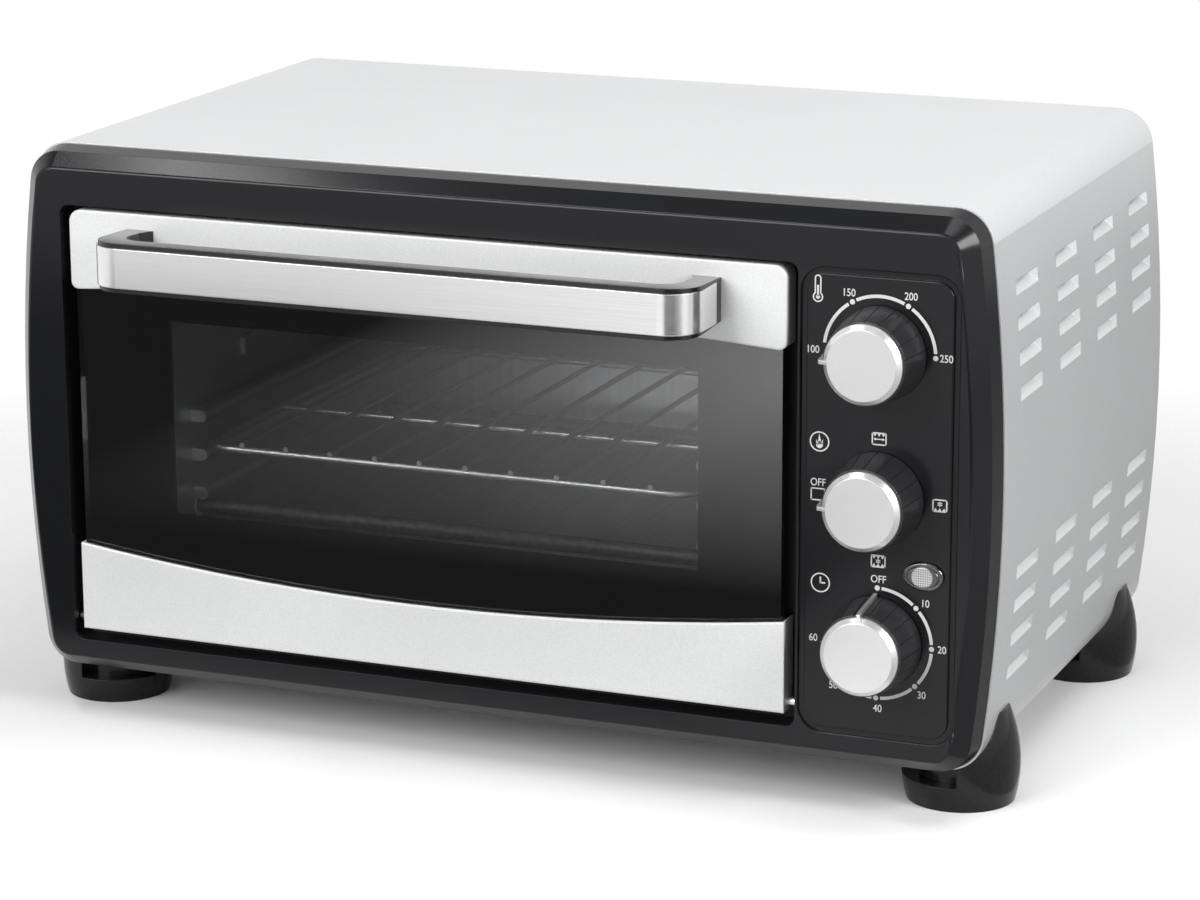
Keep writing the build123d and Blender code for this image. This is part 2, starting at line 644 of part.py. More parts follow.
for side, name in ((-1, "cavity_wall_left"), (1, "cavity_wall_right")):
    face_x = DOOR_X + side * CAVITY_WIDTH / 2
    with BuildPart() as cavity_wall:
        with BuildSketch(Plane.YZ.offset(face_x)):
            with Locations((deep(FRAME_BACK), BASE_TOP)):
                Rectangle(WALL_END - FRAME_BACK, WALL_TOP - BASE_TOP, align=(Align.MIN, Align.MIN))
        extrude(amount=side * CAVITY_SHEET)
        with BuildSketch(Plane.YZ.offset(face_x)):
            with Locations((deep(FRAME_BACK), BASE_TOP)):
                Rectangle(NOTCH_DEPTH, NOTCH_HEIGHT, align=(Align.MIN, Align.MIN))
        extrude(amount=side * CAVITY_SHEET, mode=Mode.SUBTRACT)
        with BuildSketch(front(FRAME_BACK + RAIL_START)):
            for rail in range(RAIL_COUNT):
                rail_z = RAIL_TOP - RAIL_RADIUS + (rail - 1) * RAIL_PITCH
                with Locations((face_x, rail_z)):
                    Rectangle(2 * (RAIL_PROUD - RAIL_RADIUS), 2 * RAIL_RADIUS)
                with Locations((face_x - side * (RAIL_PROUD - RAIL_RADIUS), rail_z)):
                    Circle(RAIL_RADIUS)
            with Locations((face_x, RAIL_TOP)):
                Rectangle(
                    2 * RAIL_PROUD,
                    2 * CAVITY_FLOOR,
                    align=(Align.MIN if side > 0 else Align.MAX, Align.CENTER),
                    mode=Mode.SUBTRACT,
                )
        extrude(amount=-RAIL_LENGTH)
        with BuildSketch(Plane.YZ.offset(face_x)):
            with Locations((deep(WALL_PAD_DEPTH), WALL_PAD_Z)):
                RectangleRounded(WALL_PAD_LENGTH, WALL_PAD_HEIGHT, WALL_PAD_PROUD)
        extrude(amount=-side * WALL_PAD_PROUD)
        with BuildSketch(Plane.YZ.offset(face_x)):
            with Locations(*[(deep(y), z) for y, z in ROD_PLACES]):
                Circle(BUSH_RADIUS + PRESS_GAP)
        extrude(amount=side * CAVITY_SHEET, mode=Mode.SUBTRACT)
        tab_reach = SPRING_X + SPRING_RADIUS - CAVITY_WIDTH / 2
        with BuildSketch(front(ANCHOR_DEPTH)):
            with Locations((face_x + side * tab_reach / 2, SPRING_Z)):
                Rectangle(tab_reach, ANCHOR_HEIGHT)
            with Locations((DOOR_X + side * SPRING_X, SPRING_Z)):
                Circle(HOOK_HOLE_RADIUS, mode=Mode.SUBTRACT)
        extrude(amount=-CAVITY_SHEET)
    save(cavity_wall.part, name)

with BuildPart() as partition_wall:
    with BuildSketch(front(FRAME_BACK + SEAT_GAP)):
        with BuildLine():
            FilletPolyline(
                (PARTITION_X, PARTITION_TOP),
                (PARTITION_X, BASE_TOP),
                (PARTITION_X + PARTITION_FLANGE, BASE_TOP),
                radius=BASE_FOLD,
            )
            offset(amount=CAVITY_SHEET, side=Side.LEFT)
        make_face()
    extrude(amount=-(PANEL_FRONT - FRAME_BACK - BASE_FOLD - 2 * SEAT_GAP))
    with BuildSketch(Plane.YZ.offset(PARTITION_X)):
        with Locations((deep(FRAME_BACK), BASE_TOP)):
            Rectangle(NOTCH_DEPTH, NOTCH_HEIGHT, align=(Align.MIN, Align.MIN))
    extrude(amount=PARTITION_FLANGE, mode=Mode.SUBTRACT)
save(partition_wall.part, "partition_wall")


# Heating rods with their terminals, in ceramic bushes
for name, rod_z in (("lower_heaters", LOWER_ROD_Z), ("upper_heaters", UPPER_ROD_Z)):
    rod_half = CAVITY_WIDTH / 2 + CAVITY_SHEET + BUSH_FLANGE + ROD_TAIL
    with BuildPart() as heaters:
        for half, radius in ((rod_half, ROD_RADIUS), (rod_half + TERMINAL_LENGTH, TERMINAL_RADIUS)):
            with BuildSketch(Plane.YZ.offset(DOOR_X - half)):
                with Locations(*[(deep(y), rod_z) for y in (ROD_FRONT, ROD_REAR)]):
                    Circle(radius)
            extrude(amount=2 * half)
    save(heaters.part, name)

with BuildPart() as heater_bushes:
    for side in (-1, 1):
        seat = DOOR_X + side * (CAVITY_WIDTH / 2 + CAVITY_SHEET)
        for radius, length in ((BUSH_FLANGE_RADIUS, BUSH_FLANGE), (BUSH_RADIUS, -CAVITY_SHEET)):
            with BuildSketch(Plane.YZ.offset(seat)):
                with Locations(*[(deep(y), z) for y, z in ROD_PLACES]):
                    Circle(radius)
                    Circle(ROD_RADIUS + PRESS_GAP, mode=Mode.SUBTRACT)
            extrude(amount=side * length)
save(heater_bushes.part, "heater_bushes")


# Wire rack: a bent frame with a stay below and cross wires welded on top
with BuildPart() as wire_rack:
    rack_middle = deep(RACK_FRONT + RACK_DEPTH / 2)
    with BuildLine(Plane.XY.offset(RACK_Z)) as rack_path:
        FilletPolyline(
            (DOOR_X - RACK_WIDTH / 2, rack_middle - RACK_DEPTH / 2),
            (DOOR_X + RACK_WIDTH / 2, rack_middle - RACK_DEPTH / 2),
            (DOOR_X + RACK_WIDTH / 2, rack_middle + RACK_DEPTH / 2),
            (DOOR_X - RACK_WIDTH / 2, rack_middle + RACK_DEPTH / 2),
            radius=RACK_CORNER,
            close=True,
        )
    with BuildSketch(Plane(rack_path.line @ 0, z_dir=rack_path.line % 0)):
        Circle(RACK_WIRE)
    sweep()
    with BuildSketch(front(RACK_FRONT - RACK_WIRE)):
        with Locations((DOOR_X, RACK_Z + RACK_WIRE + CROSS_WIRE - CROSS_WELD)):
            with GridLocations(CROSS_PITCH, CROSS_PITCH, CROSS_COUNT, 1):
                Circle(CROSS_WIRE)
    extrude(amount=-(RACK_DEPTH + 2 * RACK_WIRE))
    with BuildSketch(Plane.YZ.offset(DOOR_X - RACK_WIDTH / 2)):
        with Locations((deep(RACK_STAY_DEPTH), RACK_Z)):
            Circle(RACK_WIRE)
    extrude(amount=RACK_WIDTH)
save(wire_rack.part, "wire_rack")


# Door: channels, glass, seals and hinge pins
DOOR_HIGH = DOOR_LOW + DOOR_HEIGHT
LEAF_FRONT = DOOR_DEPTH - TRIM_SHEET
GLASS_WIDTH = DOOR_WIDTH - 2 * GLASS_SIDE_GAP
GLASS_LOW = DOOR_LOW + GLASS_BOTTOM_GAP
GLASS_HIGH = DOOR_HIGH - GLASS_TOP_GAP
HANDLE_SCREW_X = HANDLE_LENGTH / 2 - GRIP_FOOT / 2
HANDLE_SCREWS = [(DOOR_X + side * HANDLE_SCREW_X, HANDLE_Z) for side in (-1, 1)]


def trim_outline(edge_z, end, middle):
    """Trim face from one edge of the door: as tall as end at both sides, as middle at the centre."""
    left = DOOR_X - DOOR_WIDTH / 2
    right = DOOR_X + DOOR_WIDTH / 2
    with BuildLine() as outline:
        Polyline((left, edge_z + end), (left, edge_z), (right, edge_z), (right, edge_z + end))
        ThreePointArc((right, edge_z + end), (DOOR_X, edge_z + middle), (left, edge_z + end))
    make_face(outline.edges())


def channel_pocket(low, high):
    """Room inside a trim, between its side walls and from low to high."""
    with Locations((DOOR_X, low)):
        Rectangle(DOOR_WIDTH - 2 * TRIM_SHEET, high - low, align=(Align.CENTER, Align.MIN))


with BuildPart() as door_top_trim:
    with BuildSketch(front(0)):
        trim_outline(DOOR_HIGH, -TOP_TRIM_END, -TOP_TRIM_MIDDLE)
        fillet(vertices().group_by(Axis.Y)[-1], TRIM_CORNER)
        fillet(vertices().group_by(Axis.Y)[0], TRIM_LOW_CORNER)
    extrude(amount=-DOOR_DEPTH)
    with BuildSketch(front(TRIM_SHEET)):
        channel_pocket(DOOR_HIGH - TOP_TRIM_END - TRIM_CORNER, DOOR_HIGH - TRIM_SHEET)
        fillet(vertices().group_by(Axis.Y)[-1], TRIM_CORNER - TRIM_SHEET)
    extrude(amount=-DOOR_DEPTH, mode=Mode.SUBTRACT)
    with BuildSketch(front(LEAF_FRONT)):
        channel_pocket(DOOR_HIGH - BACK_LEAF, DOOR_HIGH - TRIM_SHEET / 2)
        fillet(vertices().group_by(Axis.Y)[-1], TRIM_CORNER - TRIM_SHEET / 2)
    extrude(amount=-TRIM_SHEET)
    with BuildSketch(front(0)):
        with Locations(*HANDLE_SCREWS):
            Circle(HANDLE_SCREW_RADIUS + PRESS_GAP)
    extrude(amount=-TRIM_SHEET, mode=Mode.SUBTRACT)
save(door_top_trim.part, "door_top_trim")

with BuildPart() as door_bottom_trim:
    with BuildSketch(front(0)):
        trim_outline(DOOR_LOW, BOTTOM_TRIM_END, BOTTOM_TRIM_MIDDLE)
    extrude(amount=-DOOR_DEPTH)
    with BuildSketch(front(TRIM_SHEET)):
        channel_pocket(DOOR_LOW + TRIM_SHEET, DOOR_LOW + 2 * BOTTOM_TRIM_END)
    extrude(amount=-DOOR_DEPTH, mode=Mode.SUBTRACT)
    with BuildSketch(front(LEAF_FRONT)):
        channel_pocket(DOOR_LOW + TRIM_SHEET / 2, DOOR_LOW + BOTTOM_BACK_LEAF)
        for side in (-1, 1):
            with Locations((DOOR_X + side * LINK_OFFSET, DOOR_LOW + TRIM_SHEET)):
                Rectangle(
                    3 * LINK_HALF_HEIGHT, LINK_RISE + LINK_HALF_HEIGHT - TRIM_SHEET, align=(Align.CENTER, Align.MIN)
                )
    extrude(amount=-TRIM_SHEET)
    for side in (-1, 1):
        with BuildSketch(Plane.YZ.offset(DOOR_X + side * LINK_OFFSET - EAR_SHEET / 2)):
            with Locations((deep(DOOR_DEPTH), SPRING_Z)):
                Rectangle(LINK_DEPTH - DOOR_DEPTH, 2 * LINK_HALF_HEIGHT, align=(Align.MIN, Align.CENTER))
            with Locations((deep(LINK_DEPTH), SPRING_Z)):
                Circle(LINK_HALF_HEIGHT)
                Circle(RIVET_RADIUS + PRESS_GAP, mode=Mode.SUBTRACT)
        extrude(amount=EAR_SHEET)
    with BuildSketch(Plane.YZ.offset(DOOR_X - DOOR_WIDTH / 2)):
        with Locations((deep(HINGE_DEPTH), HINGE_Z)):
            Circle(PIN_RADIUS + PRESS_GAP)
    extrude(amount=DOOR_WIDTH, mode=Mode.SUBTRACT)
save(door_bottom_trim.part, "door_bottom_trim")

with BuildPart() as door_glass:
    with BuildSketch(front(GLASS_FRONT)):
        with Locations((DOOR_X, (GLASS_LOW + GLASS_HIGH) / 2)):
            RectangleRounded(GLASS_WIDTH, GLASS_HIGH - GLASS_LOW, GLASS_CORNER)
        with Locations(*HANDLE_SCREWS):
            Circle(HANDLE_SCREW_RADIUS + SCREW_CLEARANCE, mode=Mode.SUBTRACT)
    extrude(amount=-GLASS_THICKNESS)
save(door_glass.part, "door_glass")

SEAL_FRONT = GLASS_BACK + GLASS_FIT / 2
SEAL_DEPTH = LEAF_FRONT - GLASS_FIT / 2 - SEAL_FRONT
for name, low, high in (
    ("glass_seal_top", DOOR_HIGH - BACK_LEAF + GLASS_FIT, GLASS_HIGH),
    ("glass_seal_bottom", GLASS_LOW, DOOR_LOW + BOTTOM_BACK_LEAF - GLASS_FIT),
):
    with BuildPart() as glass_seal:
        with BuildSketch(front(SEAL_FRONT)):
            with Locations((DOOR_X, (low + high) / 2)):
                Rectangle(GLASS_WIDTH - 2 * GLASS_CORNER, high - low)
        extrude(amount=-SEAL_DEPTH)
    save(glass_seal.part, name)

for side, name in ((-1, "hinge_pin_left"), (1, "hinge_pin_right")):
    pin_length = PIN_INSIDE + EAR_X - DOOR_WIDTH / 2 + EAR_SHEET + SEAT_GAP
    with BuildPart() as hinge_pin:
        with BuildSketch(Plane.YZ.offset(DOOR_X + side * (DOOR_WIDTH / 2 - PIN_INSIDE))):
            with Locations((deep(HINGE_DEPTH), HINGE_Z)):
                Circle(PIN_RADIUS)
        extrude(amount=side * pin_length)
    save(hinge_pin.part, name)


# Handle
GRIP_FRONT = HANDLE_REACH - FACING_SHEET
GRIP_HALF = HANDLE_LENGTH / 2 - FACING_SHEET

with BuildPart() as handle_grip:
    with BuildSketch(Plane.XY.offset(HANDLE_Z - GRIP_HEIGHT / 2)):
        inner_half = GRIP_HALF - GRIP_LEG
        foot_half = GRIP_HALF - GRIP_FOOT
        inner_y = deep(GRIP_DEPTH - GRIP_FRONT)
        with BuildLine():
            Polyline(
                (DOOR_X - GRIP_HALF, deep(0)),
                (DOOR_X - GRIP_HALF, deep(-GRIP_FRONT)),
                (DOOR_X + GRIP_HALF, deep(-GRIP_FRONT)),
                (DOOR_X + GRIP_HALF, deep(0)),
                (DOOR_X + foot_half, deep(0)),
                (DOOR_X + inner_half, deep(-GRIP_FLARE)),
                (DOOR_X + inner_half, inner_y),
                (DOOR_X - inner_half, inner_y),
                (DOOR_X - inner_half, deep(-GRIP_FLARE)),
                (DOOR_X - foot_half, deep(0)),
                close=True,
            )
        make_face()
        fillet(vertices().group_by(Axis.Y)[0], GRIP_CORNER)
        fillet(vertices().filter_by(lambda v: abs(v.Y - inner_y) < PRESS_GAP), GRIP_INNER_CORNER)
    extrude(amount=GRIP_HEIGHT)
    draft = degrees(atan2((GRIP_HEIGHT - GRIP_FOOT_HEIGHT) / 2, GRIP_FRONT))
    foot_top = Plane((DOOR_X, deep(0), HANDLE_Z + GRIP_FOOT_HEIGHT / 2), x_dir=(1, 0, 0), z_dir=(0, 0, 1))
    foot_base = Plane((DOOR_X, deep(0), HANDLE_Z - GRIP_FOOT_HEIGHT / 2), x_dir=(1, 0, 0), z_dir=(0, 0, 1))
    split(bisect_by=foot_top.rotated((-draft, 0, 0)), keep=Keep.BOTTOM)
    split(bisect_by=foot_base.rotated((draft, 0, 0)), keep=Keep.TOP)
    with BuildSketch(front(0)):
        with Locations(*HANDLE_SCREWS):
            Circle(HANDLE_SCREW_RADIUS + PRESS_GAP)
    extrude(amount=HANDLE_SCREW_GRIP + PRESS_GAP, mode=Mode.SUBTRACT)
save(handle_grip.part, "handle_grip")

with BuildPart() as handle_facing:
    with BuildSketch(Plane.XY.offset(HANDLE_Z - FACING_HEIGHT / 2)):
        with BuildLine():
            FilletPolyline(
                (DOOR_X - GRIP_HALF, deep(-FACING_END)),
                (DOOR_X - GRIP_HALF, deep(-GRIP_FRONT)),
                (DOOR_X + GRIP_HALF, deep(-GRIP_FRONT)),
                (DOOR_X + GRIP_HALF, deep(-FACING_END)),
                radius=GRIP_CORNER,
            )
            offset(amount=FACING_SHEET, side=Side.RIGHT)
        make_face()
    extrude(amount=FACING_HEIGHT)
save(handle_facing.part, "handle_facing")

with BuildPart() as handle_screws:
    with BuildSketch(front(GLASS_BACK)):
        with Locations(*HANDLE_SCREWS):
            Circle(HANDLE_SCREW_HEAD)
    extrude(amount=-HANDLE_SCREW_HEAD_LENGTH)
    with BuildSketch(front(GLASS_BACK)):
        with Locations(*HANDLE_SCREWS):
            Circle(HANDLE_SCREW_RADIUS)
    extrude(amount=GLASS_BACK + HANDLE_SCREW_GRIP)
save(handle_screws.part, "handle_screws")


# Door links, their rivets and the springs that pull the door shut
for side, name in ((-1, "left"), (1, "right")):
    link_x = DOOR_X + side * (LINK_OFFSET + EAR_SHEET / 2 + LINK_GAP)
    with BuildPart() as door_link:
        with BuildSketch(Plane.YZ.offset(link_x)):
            with Locations((deep(LINK_DEPTH + LINK_LENGTH / 2), SPRING_Z)):
                SlotCenterToCenter(LINK_LENGTH, 2 * LINK_HALF_HEIGHT)
            with Locations((deep(LINK_DEPTH), SPRING_Z)):
                Circle(RIVET_RADIUS + RUNNING_GAP, mode=Mode.SUBTRACT)
            with Locations((deep(LINK_END), SPRING_Z)):
                Circle(HOOK_HOLE_RADIUS, mode=Mode.SUBTRACT)
        extrude(amount=side * LINK_SHEET)
    save(door_link.part, f"door_link_{name}")

    spring_axis = DOOR_X + side * SPRING_X
    hook_x = side * (LINK_SHEET / 2 + SPRING_WIRE + PRESS_GAP)
    with BuildPart() as door_spring:
        with BuildSketch(front(LINK_END + SPRING_LEAD)):
            with Locations((spring_axis, SPRING_Z)):
                Circle(SPRING_RADIUS)
                Circle(SPRING_BORE, mode=Mode.SUBTRACT)
        extrude(amount=-SPRING_LENGTH)
        for start in (LINK_END + SPRING_LEAD, LINK_END + SPRING_LEAD + SPRING_LENGTH - 2 * SPRING_WIRE):
            with BuildSketch(front(start)):
                with Locations((spring_axis, SPRING_Z)):
                    Rectangle(2 * SPRING_BORE + SPRING_WIRE, 2 * SPRING_WIRE)
            extrude(amount=-2 * SPRING_WIRE)
        with BuildSketch(front(LINK_END - SPRING_WIRE)):
            with Locations((spring_axis + hook_x, SPRING_Z)):
                Circle(SPRING_WIRE)
        extrude(amount=-(SPRING_LEAD + 2 * SPRING_WIRE))
        with BuildSketch(Plane.YZ.offset(spring_axis + hook_x)):
            with Locations((deep(LINK_END), SPRING_Z)):
                Circle(SPRING_WIRE)
        extrude(amount=-side * (LINK_SHEET + 2 * SPRING_WIRE))
        with BuildSketch(front(LINK_END + SPRING_LEAD + SPRING_LENGTH - SPRING_WIRE)):
            with Locations((spring_axis, SPRING_Z)):
                Circle(SPRING_WIRE)
        extrude(amount=-(SPRING_LEAD + 4 * SPRING_WIRE))
        with BuildSketch(Plane.YZ.offset(spring_axis - SPRING_BORE)):
            with Locations((deep(ANCHOR_DEPTH + CAVITY_SHEET + SPRING_WIRE + PRESS_GAP), SPRING_Z)):
                Circle(SPRING_WIRE)
        extrude(amount=2 * SPRING_BORE)
    save(door_spring.part, f"door_spring_{name}")

with BuildPart() as link_rivets:
    for side in (-1, 1):
        ear_x = DOOR_X + side * (LINK_OFFSET - EAR_SHEET / 2)
        stack = EAR_SHEET + LINK_GAP + LINK_SHEET + LINK_GAP
        with BuildSketch(Plane.YZ.offset(ear_x)):
            with Locations((deep(LINK_DEPTH), SPRING_Z)):
                Circle(RIVET_RADIUS)
        extrude(amount=side * stack)
        for start, length in ((ear_x, -RIVET_HEAD), (ear_x + side * stack, RIVET_HEAD)):
            with BuildSketch(Plane.YZ.offset(start)):
                with Locations((deep(LINK_DEPTH), SPRING_Z)):
                    Circle(RIVET_HEAD_RADIUS)
            extrude(amount=side * length)
save(link_rivets.part, "link_rivets")


# Controls behind the panel
with BuildPart() as control_bracket:
    with BuildSketch(front(BRACKET_FRONT)):
        with Locations((PANEL_X, PANEL_Z)):
            RectangleRounded(BRACKET_WIDTH, BRACKET_HEIGHT, BASE_FOLD)
        with Locations(*[(PANEL_X, z) for z in KNOB_HEIGHTS.values()]):
            Circle(BUSHING_RADIUS + PRESS_GAP, mode=Mode.SUBTRACT)
        with Locations(*BRACKET_SCREWS):
            Circle(SCREW_RADIUS + PRESS_GAP, mode=Mode.SUBTRACT)
    extrude(amount=-BRACKET_SHEET)
save(control_bracket.part, "control_bracket")

THERMOSTAT_SIZE = (34.0, 30.0, 20.0)
SWITCH_RADIUS = 17.5
SWITCH_LENGTH = 22.0
TIMER_SIZE = (40.0, 44.0, 24.0)
BELL_RADIUS = 17.0
BELL_LENGTH = 12.0
BELL_ROUND = 6.0


def control_bushing(z):
    """Threaded bushing in front of a control, with the bore that its shaft turns in."""
    with BuildSketch(front(FRAME_DEPTH)) as bushing:
        with Locations((PANEL_X, z)):
            Circle(BUSHING_RADIUS)
    extrude(bushing.sketch, amount=BUSHING_LENGTH)
    with BuildSketch(front(FRAME_DEPTH - BUSHING_LENGTH)) as bore:
        with Locations((PANEL_X, z)):
            Circle(SHAFT_RADIUS + RUNNING_GAP)
    bore_depth = BUSHING_LENGTH + SHAFT_BACK - FRAME_DEPTH + SEAT_GAP
    extrude(bore.sketch, amount=-bore_depth, mode=Mode.SUBTRACT)


with BuildPart() as thermostat:
    with BuildSketch(front(FRAME_DEPTH)):
        with Locations((PANEL_X, TEMPERATURE_Z)):
            RectangleRounded(THERMOSTAT_SIZE[0], THERMOSTAT_SIZE[1], BASE_FOLD)
    extrude(amount=-THERMOSTAT_SIZE[2])
    control_bushing(TEMPERATURE_Z)
save(thermostat.part, "thermostat")

with BuildPart() as function_switch:
    with BuildSketch(front(FRAME_DEPTH)):
        with Locations((PANEL_X, FUNCTION_Z)):
            Circle(SWITCH_RADIUS)
    extrude(amount=-SWITCH_LENGTH)
    control_bushing(FUNCTION_Z)
save(function_switch.part, "function_switch")

with BuildPart() as timer_unit:
    with BuildSketch(front(FRAME_DEPTH)):
        with Locations((PANEL_X, TIMER_Z)):
            RectangleRounded(TIMER_SIZE[0], TIMER_SIZE[1], BASE_FOLD)
    extrude(amount=-TIMER_SIZE[2])
    with BuildSketch(front(FRAME_DEPTH + TIMER_SIZE[2])):
        with Locations((PANEL_X, TIMER_Z)):
            Circle(BELL_RADIUS)
    extrude(amount=-BELL_LENGTH)
    fillet(timer_unit.faces().sort_by(Axis.Y)[-1].edges(), BELL_ROUND)
    control_bushing(TIMER_Z)
save(timer_unit.part, "timer_unit")

with BuildPart() as control_nuts:
    with BuildSketch(front(BRACKET_FRONT)):
        with Locations(*[(PANEL_X, z) for z in KNOB_HEIGHTS.values()]):
            RegularPolygon(NUT_FLATS / 2, 6, major_radius=False)
            Circle(BUSHING_RADIUS + PRESS_GAP, mode=Mode.SUBTRACT)
    extrude(amount=NUT_LENGTH)
save(control_nuts.part, "control_nuts")


# Knobs: a tapered black skirt with grip lines, a metal cap with a pointer down its side, and a shaft
POINTER_TURN = {"temperature": -90, "function": -90, "timer": 0}
KNOB_FACE = KNOB_GAP + KNOB_LENGTH


def pointer_plane(z, turn):
    """Plane through a knob's axis with X along the pointer and Y to the front."""
    along = (sin(radians(turn)), 0, cos(radians(turn)))
    across = (cos(radians(turn)), 0, -sin(radians(turn)))
    return Plane((PANEL_X, deep(0), z), x_dir=along, z_dir=across)


for name, knob_z in KNOB_HEIGHTS.items():
    plane = pointer_plane(knob_z, POINTER_TURN[name])
    with BuildPart() as knob:
        with BuildSketch(plane):
            with BuildLine():
                Polyline(
                    (0, KNOB_GAP), (KNOB_BASE_RADIUS, KNOB_GAP), (KNOB_FACE_RADIUS, KNOB_FACE), (0, KNOB_FACE), close=True
                )
            make_face()
        revolve(axis=Axis((PANEL_X, deep(0), knob_z), (0, 1, 0)))
        fillet(knob.edges().filter_by(GeomType.CIRCLE).sort_by(Axis.Y)[0], KNOB_GRIP_WIDTH)
        for grip in range(KNOB_GRIP_COUNT):
            turn = POINTER_TURN[name] + (grip + 0.5) * 360 / KNOB_GRIP_COUNT
            with BuildSketch(pointer_plane(knob_z, turn)):
                with BuildLine():
                    Polyline(
                        (KNOB_BASE_RADIUS - KNOB_GRIP_DEPTH, KNOB_GAP),
                        (KNOB_BASE_RADIUS + KNOB_GRIP_DEPTH, KNOB_GAP),
                        (KNOB_FACE_RADIUS + KNOB_GRIP_DEPTH, KNOB_FACE),
                        (KNOB_FACE_RADIUS - KNOB_GRIP_DEPTH, KNOB_FACE),
                        close=True,
                    )
                make_face()
            extrude(amount=KNOB_GRIP_WIDTH / 2, both=True, mode=Mode.SUBTRACT)
        with BuildSketch(front(0)):
            with Locations((PANEL_X, knob_z)):
                Circle(SHAFT_RADIUS + PRESS_GAP)
        extrude(amount=SHAFT_FRONT + PRESS_GAP, mode=Mode.SUBTRACT)
    save(knob.part, f"{name}_knob")

    with BuildPart() as knob_cap:
        with BuildSketch(front(-KNOB_FACE)):
            with Locations((PANEL_X, knob_z)):
                Circle(CAP_RADIUS)
        extrude(amount=CAP_LENGTH)
        chamfer(knob_cap.faces().sort_by(Axis.Y)[0].edges(), CAP_BEVEL)
        with BuildSketch(plane):
            with BuildLine():
                Polyline(
                    (CAP_RADIUS - 2 * CAP_BEVEL, KNOB_FACE),
                    (CAP_RADIUS - CAP_BEVEL - RUNNING_GAP, KNOB_FACE + CAP_LENGTH - RUNNING_GAP),
                    (KNOB_FACE_RADIUS + POINTER_PROUD / 2, KNOB_FACE + CAP_LENGTH * 0.8),
                    (KNOB_FACE_RADIUS + POINTER_PROUD, KNOB_FACE + CAP_LENGTH / 3),
                    (KNOB_BASE_RADIUS + POINTER_TIP, KNOB_GAP),
                    (KNOB_BASE_RADIUS + PRESS_GAP, KNOB_GAP),
                    (KNOB_FACE_RADIUS + PRESS_GAP, KNOB_FACE),
                    close=True,
                )
            make_face()
        extrude(amount=POINTER_WIDTH / 2, both=True)
    save(knob_cap.part, f"{name}_cap")

    with BuildPart() as shaft:
        with BuildSketch(front(SHAFT_BACK)):
            with Locations((PANEL_X, knob_z)):
                Circle(SHAFT_RADIUS)
        extrude(amount=SHAFT_BACK + SHAFT_FRONT)
    save(shaft.part, f"{name}_shaft")


# Power lamp
with BuildPart() as lamp_rim:
    with BuildSketch(front(0)):
        with Locations((LAMP_X, LAMP_Z)):
            Ellipse(LAMP_LONG, LAMP_SHORT)
    extrude(amount=LAMP_PROUD)
    fillet(lamp_rim.faces().sort_by(Axis.Y)[0].edges(), LENS_ROUND)
    with BuildSketch(front(0)):
        with Locations((LAMP_X, LAMP_Z)):
            Ellipse(LAMP_LONG - LAMP_RIM, LAMP_SHORT - LAMP_RIM)
    extrude(amount=2 * LAMP_PROUD, mode=Mode.SUBTRACT)
save(lamp_rim.part, "lamp_rim")

with BuildPart() as lamp_lens:
    with BuildSketch(front(BEZEL_WALL)):
        with Locations((LAMP_X, LAMP_Z)):
            Ellipse(LAMP_LONG - LAMP_RIM - RUNNING_GAP, LAMP_SHORT - LAMP_RIM - RUNNING_GAP)
    extrude(amount=BEZEL_WALL + LAMP_PROUD + LENS_ROUND)
    fillet(lamp_lens.faces().sort_by(Axis.Y)[0].edges(), LENS_ROUND)
save(lamp_lens.part, "lamp_lens")

with BuildPart() as lamp_holder:
    with BuildSketch(front(BEZEL_WALL)):
        with Locations((LAMP_X, LAMP_Z)):
            RectangleRounded(2 * LAMP_LONG, 2 * LAMP_SHORT, BASE_FOLD)
    extrude(amount=-LAMP_HOLDER_DEPTH)
save(lamp_holder.part, "lamp_holder")


